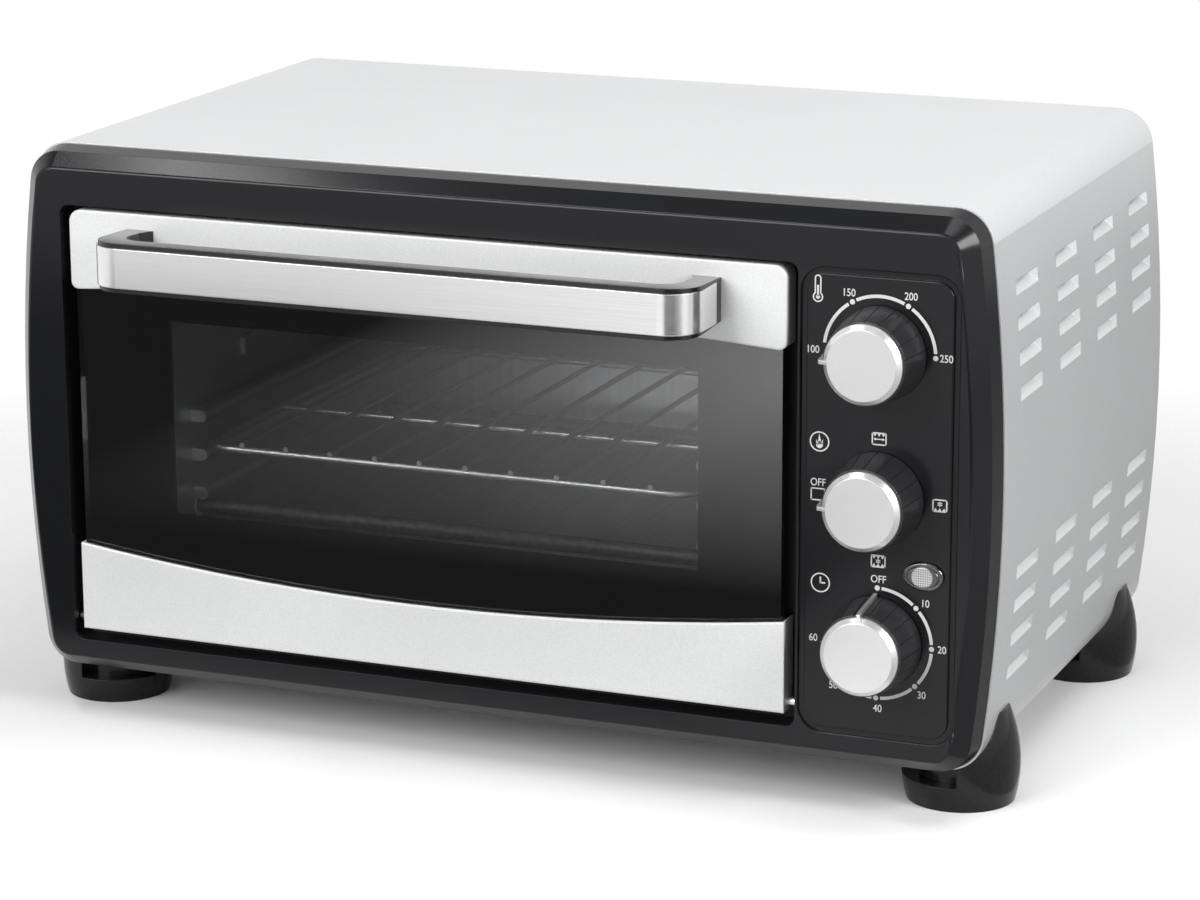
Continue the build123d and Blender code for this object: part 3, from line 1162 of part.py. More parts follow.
# Feet: round bodies with a ledge on the inner side and an ear that cradles the shell's lower corner
for side, side_name in ((-1, "left"), (1, "right")):
    for depth, end_name in ((FOOT_FRONT, "front"), (FOOT_REAR, "rear")):
        centre = (side * FOOT_X, deep(depth))
        with BuildPart() as foot:
            with BuildSketch(Plane.XZ.offset(-deep(depth))):
                with BuildLine():
                    Polyline((side * FOOT_X, FOOT_TOP_Z), (side * FOOT_X, 0), (side * (FOOT_X + FOOT_RADIUS), 0))
                    Spline(
                        (side * (FOOT_X + FOOT_RADIUS), 0),
                        (side * (FOOT_X + FOOT_BELLY_RADIUS), FOOT_BELLY_Z),
                        (side * (FOOT_X + FOOT_TOP_RADIUS), FOOT_TOP_Z),
                    )
                    Line((side * (FOOT_X + FOOT_TOP_RADIUS), FOOT_TOP_Z), (side * FOOT_X, FOOT_TOP_Z))
                make_face()
            revolve(axis=Axis((side * FOOT_X, deep(depth), 0), (0, 0, 1)))
            with BuildSketch(Plane.XY.offset(FOOT_LEDGE_Z)):
                with Locations((side * (FOOT_X + FOOT_LEDGE_SIDE), deep(depth))):
                    Rectangle(
                        3 * FOOT_RADIUS, 3 * FOOT_RADIUS, align=(Align.MAX if side > 0 else Align.MIN, Align.CENTER)
                    )
            extrude(amount=FOOT_TOP_Z, mode=Mode.SUBTRACT)
            with BuildSketch(Plane.XY.offset(FOOT_LEDGE_Z / 2)):
                with Locations(centre):
                    Circle(FOOT_NECK_RADIUS)
            extrude(amount=FOOT_TOP_Z - FOOT_LEDGE_Z)
            with BuildSketch(front(depth - 2 * FOOT_RADIUS)):
                barrel(0)
            extrude(amount=-4 * FOOT_RADIUS, mode=Mode.SUBTRACT)
            with BuildSketch(Plane.XY):
                with Locations(centre):
                    Circle(FOOT_RECESS_RADIUS)
            extrude(amount=FOOT_RECESS_DEPTH, mode=Mode.SUBTRACT)
            with BuildSketch(Plane.XY):
                with Locations(centre):
                    Circle(SCREW_RADIUS + SCREW_CLEARANCE)
            extrude(amount=BODY_LIFT, mode=Mode.SUBTRACT)
        save(foot.part, f"foot_{end_name}_{side_name}")

with BuildPart() as foot_screws:
    with BuildSketch(Plane.XY.offset(FOOT_RECESS_DEPTH)):
        with Locations(*FOOT_PLACES):
            Circle(SCREW_HEAD_RADIUS)
    extrude(amount=-SCREW_HEAD)
    with BuildSketch(Plane.XY.offset(FOOT_RECESS_DEPTH)):
        with Locations(*FOOT_PLACES):
            Circle(SCREW_RADIUS)
    extrude(amount=BASE_TOP - FOOT_RECESS_DEPTH + SCREW_HEAD)
save(foot_screws.part, "foot_screws")
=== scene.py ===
"""A countertop toaster oven: its finishes, panel printing, glass border, rear screws, camera and light."""

import json
import math

import bmesh
import bpy
from mathutils import Matrix, Vector

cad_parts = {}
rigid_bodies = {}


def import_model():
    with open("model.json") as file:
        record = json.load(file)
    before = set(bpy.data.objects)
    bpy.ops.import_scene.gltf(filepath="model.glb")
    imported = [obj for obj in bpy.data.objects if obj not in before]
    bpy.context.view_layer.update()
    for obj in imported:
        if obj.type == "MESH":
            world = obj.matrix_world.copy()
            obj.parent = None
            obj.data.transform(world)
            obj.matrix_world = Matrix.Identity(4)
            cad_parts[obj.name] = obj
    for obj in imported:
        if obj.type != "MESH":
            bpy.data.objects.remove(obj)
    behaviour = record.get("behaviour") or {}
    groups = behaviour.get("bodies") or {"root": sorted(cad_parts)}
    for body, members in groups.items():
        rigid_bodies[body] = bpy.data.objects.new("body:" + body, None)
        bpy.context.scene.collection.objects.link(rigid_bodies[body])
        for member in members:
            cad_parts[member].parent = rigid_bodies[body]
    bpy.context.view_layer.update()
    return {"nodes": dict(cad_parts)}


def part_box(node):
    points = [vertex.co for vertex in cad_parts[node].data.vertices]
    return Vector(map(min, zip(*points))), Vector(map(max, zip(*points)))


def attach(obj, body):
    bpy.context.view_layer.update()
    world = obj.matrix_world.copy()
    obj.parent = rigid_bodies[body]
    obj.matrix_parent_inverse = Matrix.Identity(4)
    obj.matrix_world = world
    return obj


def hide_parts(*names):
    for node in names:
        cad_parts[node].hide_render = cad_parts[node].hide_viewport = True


for spare in list(bpy.data.objects):
    bpy.data.objects.remove(spare)

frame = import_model()
nodes = frame["nodes"]
scene = bpy.context.scene
scene.view_settings.view_transform = "Standard"

MM = 0.001

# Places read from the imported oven
panel_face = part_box("front_bezel")[0].y
glass_low, glass_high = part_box("door_glass")


def axis_of(node):
    """The middle of a turned piece, as it is seen from the front."""
    low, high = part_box(node)
    return Vector(((low.x + high.x) / 2, panel_face, (low.z + high.z) / 2))


temperature_axis = axis_of("temperature_shaft")
function_axis = axis_of("function_shaft")
timer_axis = axis_of("timer_shaft")
lamp_middle = axis_of("lamp_lens")

# Scales printed round the knobs, with angles in degrees
INK_LIFT = 0.04 * MM
SCALE_RADIUS = 21.4 * MM
SCALE_WIDTH = 1.25 * MM
SCALE_GAP = 4.6
ARC_STEP = 3
RING_STEPS = 40
DOT_RADIUS = 1.0 * MM
DOT_SIDES = 24
TIMER_SCALE_SHIFT = Vector((0.4 * MM, 0, -0.2 * MM))

# Figures, by their height and by shares of it
FIGURE_HEIGHT = 2.9 * MM
FIGURE_CAP = 0.72
FIGURE_WEIGHT = 0.012
FIGURE_NARROWING = 0.86

# Icons, in millimetres on the panel
ICON_LINE = 0.5
OVEN_WIDTH = 5.8
OVEN_HEIGHT = 4.9
HEAT_SPACING = 1.65
HEAT_WIDTH = 1.5
HEAT_HEIGHT = 1.2
BLADE_WIDTH = 0.42
BLADE_LENGTH = 1.9

# A three-sided shape of unit radius, and the reach within which doubles merge
TRIANGLE_WIDTH = 1.732
TRIANGLE_HEIGHT = 1.5
MERGE_REACH = 0.0005 * MM

# Printed border round the clear window of the glass
WINDOW_LEFT = 37.2 * MM
WINDOW_RIGHT = 34.0 * MM
WINDOW_LOW = 43.5 * MM
WINDOW_HIGH = 38.6 * MM
BORDER_SHEET = 0.02 * MM

# Screws round the rear panel, seen from the front in millimetres, with their pan heads
REAR_SCREWS = ((-197.7, 172.0), (197.7, 172.0), (-124.0, 228.6), (0.0, 228.6), (124.0, 228.6),
               (-197.7, 80.0), (197.7, 80.0))
HEAD_RADIUS = 3.0 * MM
HEAD_HEIGHT = 1.8 * MM
HEAD_ROUND = 0.9 * MM
HEAD_ROUND_STEPS = 4
HEAD_TURN = 37
CROSS_REACH = 1.75 * MM
CROSS_WIDTH = 0.7 * MM
CROSS_DEPTH = 1.0 * MM
CROSS_TAPER = 0.6

# Finishes: the usual range of a noise, the sockets of a colour mix, and the length of a drift in gloss
NOISE_LOW = 0.3
NOISE_HIGH = 0.7
MIX_FIRST = 6
MIX_SECOND = 7
MIX_RESULT = 2
GLOSS_DRIFT = 60 * MM


def grey(value):
    return (value, value, value)


def cube(length):
    return (length, length, length)


def blank_finish(name, colour, roughness, metallic=0.0):
    """A new material with its shader's plain values set."""
    material = bpy.data.materials.new(name)
    material.use_nodes = True
    shader = material.node_tree.nodes["Principled BSDF"]
    shader.inputs["Base Color"].default_value = (*colour, 1.0)
    shader.inputs["Roughness"].default_value = roughness
    shader.inputs["Metallic"].default_value = metallic
    return material, shader


def add_node(material, kind, **settings):
    made = material.node_tree.nodes.new(kind)
    for name, value in settings.items():
        setattr(made, name, value)
    return made


def link(material, source, target):
    material.node_tree.links.new(source, target)


def pattern_place(material, centre=(0, 0, 0), size=(1, 1, 1)):
    """Object coordinates moved to a centre and counted in lengths of the given size."""
    coordinates = add_node(material, "ShaderNodeTexCoord")
    mapping = add_node(material, "ShaderNodeMapping", vector_type="TEXTURE")
    mapping.inputs["Location"].default_value = centre
    mapping.inputs["Scale"].default_value = size
    link(material, coordinates.outputs["Object"], mapping.inputs["Vector"])
    return mapping.outputs["Vector"]


def along_axes(material, place):
    """The parts of a place along X, Y and Z."""
    made = add_node(material, "ShaderNodeSeparateXYZ")
    link(material, place, made.inputs["Vector"])
    return made.outputs


def distance(material, place):
    """How far a place is from its own origin."""
    made = add_node(material, "ShaderNodeVectorMath", operation="LENGTH")
    link(material, place, made.inputs[0])
    return made.outputs["Value"]


def noise(material, place, detail=3.0, roughness=0.5):
    made = add_node(material, "ShaderNodeTexNoise")
    made.inputs["Scale"].default_value = 1.0
    made.inputs["Detail"].default_value = detail
    made.inputs["Roughness"].default_value = roughness
    link(material, place, made.inputs["Vector"])
    return made.outputs["Fac"]


def tones(material, amount, first, second, start=NOISE_LOW, end=NOISE_HIGH):
    """A colour that runs from the first to the second as an amount goes from start to end."""
    made = add_node(material, "ShaderNodeValToRGB")
    for element, position, colour in zip(made.color_ramp.elements, (start, end), (first, second)):
        element.position = position
        element.color = (*colour, 1.0)
    link(material, amount, made.inputs["Fac"])
    return made.outputs["Color"]


def spread(material, amount, low, high, start=NOISE_LOW, end=NOISE_HIGH):
    """An amount between start and end stretched to run from low to high."""
    made = add_node(material, "ShaderNodeMapRange")
    made.inputs["From Min"].default_value = start
    made.inputs["From Max"].default_value = end
    made.inputs["To Min"].default_value = low
    made.inputs["To Max"].default_value = high
    link(material, amount, made.inputs["Value"])
    return made.outputs["Result"]


def join(material, operation, first, second):
    """Two amounts brought together, the second of which may be a plain number."""
    made = add_node(material, "ShaderNodeMath", operation=operation)
    link(material, first, made.inputs[0])
    if isinstance(second, float):
        made.inputs[1].default_value = second
    else:
        link(material, second, made.inputs[1])
    return made.outputs["Value"]


def mix_colours(material, amount, plain, other):
    """A plain colour that gives way to another one as an amount rises."""
    made = add_node(material, "ShaderNodeMix", data_type="RGBA")
    link(material, amount, made.inputs["Factor"])
    made.inputs[MIX_FIRST].default_value = (*plain, 1.0)
    link(material, other, made.inputs[MIX_SECOND])
    return made.outputs[MIX_RESULT]


def soft_edges(material, radius):
    made = add_node(material, "ShaderNodeBevel", samples=4)
    made.inputs["Radius"].default_value = radius
    return made.outputs["Normal"]


def relief(material, height, depth, normal=None, strength=1.0):
    made = add_node(material, "ShaderNodeBump")
    made.inputs["Strength"].default_value = strength
    made.inputs["Distance"].default_value = depth
    link(material, height, made.inputs["Height"])
    if normal is not None:
        link(material, normal, made.inputs["Normal"])
    return made.outputs["Normal"]


def grained_finish(name, dark, light, roughness, grain, depth, metallic=0.0, edge=0.0, detail=3.0,
                   specular=0.5):
    """A finish with a fine grain in its colour and surface, and a slow drift in its gloss."""
    material, shader = blank_finish(name, light, sum(roughness) / 2, metallic)
    fine = noise(material, pattern_place(material, size=grain), detail)
    link(material, tones(material, fine, dark, light), shader.inputs["Base Color"])
    slow = noise(material, pattern_place(material, size=cube(GLOSS_DRIFT)), detail=2.0)
    link(material, spread(material, slow, *roughness), shader.inputs["Roughness"])
    normal = soft_edges(material, edge) if edge else None
    link(material, relief(material, fine, depth, normal), shader.inputs["Normal"])
    shader.inputs["Specular IOR Level"].default_value = specular
    return material


shell_lacquer = grained_finish(
    "shell_lacquer", (0.66, 0.668, 0.676), (0.72, 0.728, 0.736), roughness=(0.3, 0.34), metallic=0.42,
    grain=cube(0.9 * MM), depth=0.004 * MM, edge=0.5 * MM,
)
inner_zinc = grained_finish(
    "inner_zinc", grey(0.46), grey(0.6), roughness=(0.35, 0.5), metallic=0.85,
    grain=cube(6 * MM), depth=0.004 * MM, edge=0.2 * MM,
)
# The front frame is made near black and matt, so the gap round the glass reads dark
frame_coat = grained_finish(
    "frame_coat", grey(0.012), grey(0.02), roughness=(0.4, 0.5),
    grain=cube(0.8 * MM), depth=0.006 * MM, edge=0.3 * MM, specular=0.3,
)
rear_zinc = grained_finish(
    "rear_zinc", (0.5, 0.51, 0.52), (0.62, 0.63, 0.64), roughness=(0.35, 0.5), metallic=0.8,
    grain=cube(5 * MM), depth=0.004 * MM, edge=0.3 * MM,
)
cavity_steel = grained_finish(
    "cavity_steel", grey(0.41), grey(0.47), roughness=(0.33, 0.42), metallic=0.75,
    grain=(2 * MM, 60 * MM, 60 * MM), depth=0.004 * MM, edge=0.4 * MM,
)
sanded_trim = grained_finish(
    "sanded_trim", (0.78, 0.785, 0.79), (0.92, 0.925, 0.93), roughness=(0.42, 0.48), metallic=0.3,
    grain=cube(0.45 * MM), depth=0.01 * MM, edge=1.2 * MM, detail=2.0,
)
bright_zinc = grained_finish(
    "bright_zinc", grey(0.6), grey(0.75), roughness=(0.25, 0.4), metallic=1.0,
    grain=cube(1.5 * MM), depth=0.004 * MM, edge=0.15 * MM,
)
spring_wire = grained_finish(
    "spring_wire", grey(0.38), grey(0.5), roughness=(0.25, 0.4), metallic=1.0,
    grain=cube(1.0 * MM), depth=0.004 * MM,
)
heater_sheath = grained_finish(
    "heater_sheath", (0.05, 0.047, 0.045), (0.1, 0.095, 0.09), roughness=(0.45, 0.6), metallic=0.5,
    grain=cube(2.5 * MM), depth=0.02 * MM,
)
glazed_ceramic = grained_finish(
    "glazed_ceramic", (0.72, 0.69, 0.63), (0.82, 0.8, 0.75), roughness=(0.25, 0.4),
    grain=cube(1.2 * MM), depth=0.01 * MM,
)
chromed_wire = grained_finish(
    "chromed_wire", grey(0.42), grey(0.5), roughness=(0.4, 0.48), metallic=1.0,
    grain=cube(4 * MM), depth=0.004 * MM,
)
bezel_moulding = grained_finish(
    "bezel_moulding", (0.0085, 0.009, 0.0105), (0.0125, 0.013, 0.015), roughness=(0.15, 0.19),
    grain=cube(0.5 * MM), depth=0.003 * MM, edge=0.4 * MM, specular=0.26,
)
grip_moulding = grained_finish(
    "grip_moulding", grey(0.009), grey(0.014), roughness=(0.14, 0.22),
    grain=cube(1.2 * MM), depth=0.004 * MM, edge=0.5 * MM,
)
knob_moulding = grained_finish(
    "knob_moulding", (0.018, 0.0185, 0.0205), (0.025, 0.0255, 0.028), roughness=(0.28, 0.38),
    grain=cube(0.4 * MM), depth=0.006 * MM, edge=0.25 * MM,
)
foot_moulding = grained_finish(
    "foot_moulding", grey(0.009), grey(0.014), roughness=(0.14, 0.24),
    grain=cube(1.5 * MM), depth=0.005 * MM, edge=0.6 * MM, specular=0.3,
)
gland_moulding = grained_finish(
    "gland_moulding", grey(0.012), grey(0.02), roughness=(0.4, 0.5),
    grain=cube(0.6 * MM), depth=0.01 * MM, edge=0.3 * MM,
)
control_resin = grained_finish(
    "control_resin", (0.5, 0.48, 0.42), (0.6, 0.58, 0.52), roughness=(0.45, 0.6),
    grain=cube(0.8 * MM), depth=0.01 * MM, edge=0.3 * MM,
)
seal_rubber = grained_finish(
    "seal_rubber", grey(0.014), grey(0.024), roughness=(0.55, 0.7),
    grain=cube(0.5 * MM), depth=0.02 * MM,
)
border_enamel = grained_finish(
    "border_enamel", grey(0.003), grey(0.005), roughness=(0.4, 0.55),
    grain=cube(0.7 * MM), depth=0.002 * MM, specular=0.0,
)
panel_ink = grained_finish(
    "panel_ink", grey(0.74), grey(0.84), roughness=(0.45, 0.55),
    grain=cube(0.3 * MM), depth=0.004 * MM,
)


def brushed_finish(name, dark, light, roughness, metallic, grain, depth, edge):
    """Bare metal with long scratches along the piece."""
    material, shader = blank_finish(name, light, sum(roughness) / 2, metallic)
    scratches = noise(material, pattern_place(material, size=grain), detail=4.0, roughness=0.65)
    link(material, tones(material, scratches, dark, light), shader.inputs["Base Color"])
    link(material, spread(material, scratches, *roughness), shader.inputs["Roughness"])
    normal = soft_edges(material, edge)
    link(material, relief(material, scratches, depth, normal), shader.inputs["Normal"])
    return material


handle_metal = brushed_finish(
    "handle_metal", grey(0.8), grey(0.9), roughness=(0.16, 0.22), metallic=0.9,
    grain=(60 * MM, 0.25 * MM, 0.25 * MM), depth=0.003 * MM, edge=0.5 * MM,
)
rim_metal = brushed_finish(
    "rim_metal", grey(0.1), grey(0.16), roughness=(0.1, 0.2), metallic=1.0,
    grain=(8 * MM, 0.6 * MM, 0.6 * MM), depth=0.003 * MM, edge=0.25 * MM,
)

# Fine rings turned in the face of a knob's cap
RING_SCALE = 2.5
RING_WANDER = 0.6
RING_DETAIL = 3.0
RING_DEPTH = 0.001 * MM
CAP_EDGE = 0.3 * MM


def spun_finish(name, centre):
    """A knob cap's face, turned to fine rings round its own axis."""
    material, shader = blank_finish(name, grey(0.72), roughness=0.3, metallic=0.85)
    rings = add_node(material, "ShaderNodeTexWave", wave_type="RINGS", rings_direction="Y")
    rings.inputs["Scale"].default_value = RING_SCALE
    rings.inputs["Distortion"].default_value = RING_WANDER
    rings.inputs["Detail"].default_value = RING_DETAIL
    link(material, pattern_place(material, centre=centre, size=cube(1.0 * MM)), rings.inputs["Vector"])
    height = rings.outputs["Fac"]
    link(material, tones(material, height, grey(0.68), grey(0.75), 0.2, 0.8), shader.inputs["Base Color"])
    link(material, spread(material, height, 0.26, 0.36, 0.0, 1.0), shader.inputs["Roughness"])
    normal = soft_edges(material, CAP_EDGE)
    link(material, relief(material, height, RING_DEPTH, normal), shader.inputs["Normal"])
    return material


# The lamp's lens: prisms counted per millimetre, on a patch with a soft rim given in millimetres
PRISM_COUNT = 1.15
PRISM_DEPTH = 0.05 * MM
PATCH_INNER = 3.7
PATCH_OUTER = 4.3
LENS_RIM = (0.045, 0.045, 0.048)
LENS_EDGE = 0.6 * MM


def lamp_finish(name, centre):
    """A clear lens, dark at its rim, over a round patch of small prisms."""
    material, shader = blank_finish(name, grey(0.5), roughness=0.12)
    place = along_axes(material, pattern_place(material, centre=centre, size=cube(1.0 * MM)))
    flat = add_node(material, "ShaderNodeCombineXYZ")
    link(material, place["X"], flat.inputs["X"])
    link(material, place["Z"], flat.inputs["Y"])
    prisms = add_node(material, "ShaderNodeTexVoronoi", feature="F1", voronoi_dimensions="2D")
    prisms.inputs["Scale"].default_value = PRISM_COUNT
    prisms.inputs["Randomness"].default_value = 0.0
    link(material, flat.outputs["Vector"], prisms.inputs["Vector"])
    height = prisms.outputs["Distance"]
    patch = spread(material, distance(material, flat.outputs["Vector"]), 1.0, 0.0, PATCH_INNER, PATCH_OUTER)
    studs = tones(material, height, grey(0.85), grey(0.3), 0.1, 0.6)
    link(material, mix_colours(material, patch, LENS_RIM, studs), shader.inputs["Base Color"])
    normal = soft_edges(material, LENS_EDGE)
    link(material, relief(material, height, PRISM_DEPTH, normal, strength=0.4), shader.inputs["Normal"])
    shader.inputs["Coat Weight"].default_value = 0.8
    shader.inputs["Coat Roughness"].default_value = 0.04
    return material


def clear_glass(name):
    """Tempered grey glass with a faint film of handling on it."""
    material, shader = blank_finish(name, (0.78, 0.79, 0.8), roughness=0.0)
    shader.inputs["Transmission Weight"].default_value = 1.0
    shader.inputs["IOR"].default_value = 1.8
    film = noise(material, pattern_place(material, size=cube(35 * MM)), detail=4.0)
    link(material, tones(material, film, (0.74, 0.75, 0.76), (0.8, 0.81, 0.82)), shader.inputs["Base Color"])
    return material


wearers = {
    shell_lacquer: ["outer_shell"],
    inner_zinc: ["base_plate", "control_bracket", "partition_wall"],
    frame_coat: ["front_frame"],
    rear_zinc: ["rear_panel"],
    cavity_steel: ["cavity_wrap", "cavity_wall_left", "cavity_wall_right"],
    sanded_trim: ["door_top_trim", "door_bottom_trim"],
    bright_zinc: ["rear_screws", "bezel_screws", "handle_screws", "foot_screws", "link_rivets",
                  "control_nuts", "hinge_pin_left", "hinge_pin_right", "door_link_left", "door_link_right",
                  "temperature_shaft", "function_shaft", "timer_shaft"],
    spring_wire: ["door_spring_left", "door_spring_right"],
    heater_sheath: ["lower_heaters", "upper_heaters"],
    glazed_ceramic: ["heater_bushes"],
    chromed_wire: ["wire_rack"],
    bezel_moulding: ["front_bezel"],
    grip_moulding: ["handle_grip"],
    handle_metal: ["handle_facing"],
    knob_moulding: ["temperature_knob", "function_knob", "timer_knob"],
    control_resin: ["thermostat", "function_switch", "timer_unit", "lamp_holder"],
    rim_metal: ["lamp_rim"],
    lamp_finish("lamp_prisms", lamp_middle): ["lamp_lens"],
    foot_moulding: ["foot_front_left", "foot_front_right", "foot_rear_left", "foot_rear_right"],
    gland_moulding: ["cord_gland"],
    clear_glass("door_glass_grey"): ["door_glass"],
    seal_rubber: ["glass_seal_top", "glass_seal_bottom"],
    spun_finish("temperature_cap_spun", temperature_axis): ["temperature_cap"],
    spun_finish("function_cap_spun", function_axis): ["function_cap"],
    spun_finish("timer_cap_spun", timer_axis): ["timer_cap"],
}


def dress(piece, material):
    piece.data.materials.clear()
    piece.data.materials.append(material)


for material, names in wearers.items():
    for name in names:
        dress(nodes[name], material)


# New pieces

def add_mesh(name, shape, material):
    """A dressed mesh object from a finished shape."""
    mesh = bpy.data.meshes.new(name)
    shape.to_mesh(mesh)
    shape.free()
    piece = bpy.data.objects.new(name, mesh)
    scene.collection.objects.link(piece)
    dress(piece, material)
    return piece


def add_piece(name, shape, material, body):
    """A piece of the oven, riding on one of its bodies."""
    piece = add_mesh(name, shape, material)
    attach(piece, body)
    return piece


def settle(shape):
    """Doubles merged and faces turned outwards."""
    bmesh.ops.remove_doubles(shape, verts=shape.verts, dist=MERGE_REACH)
    bmesh.ops.recalc_face_normals(shape, faces=shape.faces)


def verts_among(items):
    return [item for item in items if isinstance(item, bmesh.types.BMVert)]


def on_panel(axis, right, up):
    """A point on the panel's face, off a knob's axis, in millimetres."""
    return axis + Vector((right * MM, 0, up * MM))


def round_dial(axis, angle):
    """A point at a clock angle on a knob's scale."""
    turn = math.radians(angle)
    return axis + Vector((SCALE_RADIUS * math.sin(turn), 0, SCALE_RADIUS * math.cos(turn)))


def ink_layer(middle):
    """The place of a layer of ink over a point of the panel."""
    return Matrix.Translation(middle + Vector((0, -INK_LIFT / 2, 0)))


stand_up = Matrix.Rotation(math.pi / 2, 4, "X")


def ink_section(shape, axis, radius, width):
    """The small cross-section of a printed line, at twelve o'clock over an axis."""
    corners = []
    for reach, lift in ((-width / 2, 0), (width / 2, 0), (width / 2, -INK_LIFT), (-width / 2, -INK_LIFT)):
        corners.append(shape.verts.new(axis + Vector((0, lift, radius + reach))))
    return corners


def ink_arc(shape, axis, start, end, radius=SCALE_RADIUS, width=SCALE_WIDTH):
    """A printed stretch of scale between two clock angles."""
    corners = ink_section(shape, axis, radius, width)
    face = shape.faces.new(corners)
    turn = Matrix.Rotation(math.radians(start), 3, "Y")
    bmesh.ops.rotate(shape, verts=corners, cent=axis, matrix=turn)
    section = corners + list(face.edges) + [face]
    bmesh.ops.spin(shape, geom=section, cent=axis, axis=(0, 1, 0), angle=math.radians(end - start),
                   steps=max(4, round((end - start) / ARC_STEP)))


def ink_ring(shape, axis, radius, width):
    """A printed circle."""
    corners = ink_section(shape, axis, radius, width)
    face = shape.faces.new(corners)
    edges = list(face.edges)
    shape.faces.remove(face)
    bmesh.ops.spin(shape, geom=corners + edges, cent=axis, axis=(0, 1, 0), angle=math.tau,
                   steps=RING_STEPS, use_merge=True)


def ink_dot(shape, middle, radius=DOT_RADIUS):
    bmesh.ops.create_cone(shape, cap_ends=True, segments=DOT_SIDES, radius1=radius, radius2=radius,
                          depth=INK_LIFT, matrix=ink_layer(middle) @ stand_up)


def ink_bar(shape, middle, width, height, tilt=0.0):
    """A printed bar, tilted by a clock angle."""
    place = ink_layer(middle) @ Matrix.Rotation(math.radians(tilt), 4, "Y")
    place = place @ Matrix.Diagonal((width * MM, INK_LIFT, height * MM, 1.0))
    bmesh.ops.create_cube(shape, size=1.0, matrix=place)


def ink_spike(shape, middle, width, height, tilt=0.0):
    """A printed triangle, pointing to a clock angle."""
    place = ink_layer(middle) @ Matrix.Rotation(math.radians(tilt), 4, "Y")
    place = place @ Matrix.Diagonal((width / TRIANGLE_WIDTH * MM, 1.0, height / TRIANGLE_HEIGHT * MM, 1.0))
    bmesh.ops.create_cone(shape, cap_ends=True, segments=3, radius1=1.0, radius2=1.0,
                          depth=INK_LIFT, matrix=place @ stand_up)


def ink_figures(shape, figures, middle):
    """Plain figures printed upright on the panel, centred on a point."""
    curve = bpy.data.curves.new("figures", "FONT")
    curve.body = figures
    curve.align_x = "CENTER"
    curve.align_y = "CENTER"
    curve.size = FIGURE_HEIGHT / FIGURE_CAP
    curve.offset = FIGURE_WEIGHT * FIGURE_HEIGHT
    curve.extrude = INK_LIFT / 2
    holder = bpy.data.objects.new("figures", curve)
    scene.collection.objects.link(holder)
    depsgraph = bpy.context.evaluated_depsgraph_get()
    mesh = bpy.data.meshes.new_from_object(holder.evaluated_get(depsgraph))
    narrow = Matrix.Diagonal((FIGURE_NARROWING, 1.0, 1.0, 1.0))
    mesh.transform(ink_layer(middle) @ stand_up @ narrow)
    shape.from_mesh(mesh)
    bpy.data.meshes.remove(mesh)
    bpy.data.objects.remove(holder)


def ink_oven(shape, middle):
    """A printed outline of an oven's box."""
    for side in (-1, 1):
        ink_bar(shape, on_panel(middle, side * (OVEN_WIDTH - ICON_LINE) / 2, 0), ICON_LINE, OVEN_HEIGHT)
        ink_bar(shape, on_panel(middle, 0, side * (OVEN_HEIGHT - ICON_LINE) / 2), OVEN_WIDTH, ICON_LINE)


def ink_heat(shape, middle, side):
    """Heat spikes coming off the upper or the lower side of an oven outline."""
    for column in (-HEAT_SPACING, 0, HEAT_SPACING):
        root = on_panel(middle, column, side * HEAT_SPACING)
        ink_spike(shape, root, HEAT_WIDTH, HEAT_HEIGHT, 90 + side * 90)


def ink_fan(shape, middle):
    """A small fan of three crossed blades."""
    for tilt in (0, 60, 120):
        ink_bar(shape, middle, BLADE_WIDTH, BLADE_LENGTH, tilt)


def temperature_print():
    """The temperature scale and a thermometer."""
    shape = bmesh.new()
    axis = temperature_axis
    for angle in (-30, 30, 90):
        ink_dot(shape, round_dial(axis, angle))
    for start, end in ((-88, -30), (-30, 30), (30, 90)):
        ink_arc(shape, axis, start + SCALE_GAP, end - SCALE_GAP)
    figures = (("100", -25.8, -0.5), ("150", -12.1, 21.8), ("200", 11.7, 22.1), ("250", 25.5, 0))
    for number, right, up in figures:
        ink_figures(shape, number, on_panel(axis, right, up))
    bulb = on_panel(axis, -24.0, 19.4)
    ink_arc(shape, bulb, 36, 324, 1.75 * MM, ICON_LINE * MM)
    ink_dot(shape, bulb, 0.8 * MM)
    ink_bar(shape, on_panel(bulb, 0, 2.3), 0.75, 4.2)
    for side in (-1, 1):
        ink_bar(shape, on_panel(bulb, side * 1.05, 4.2), ICON_LINE, 5.7)
    ink_arc(shape, on_panel(bulb, 0, 7.0), -90, 90, 1.05 * MM, ICON_LINE * MM)
    settle(shape)
    add_piece("temperature_print", shape, panel_ink, "oven_body")


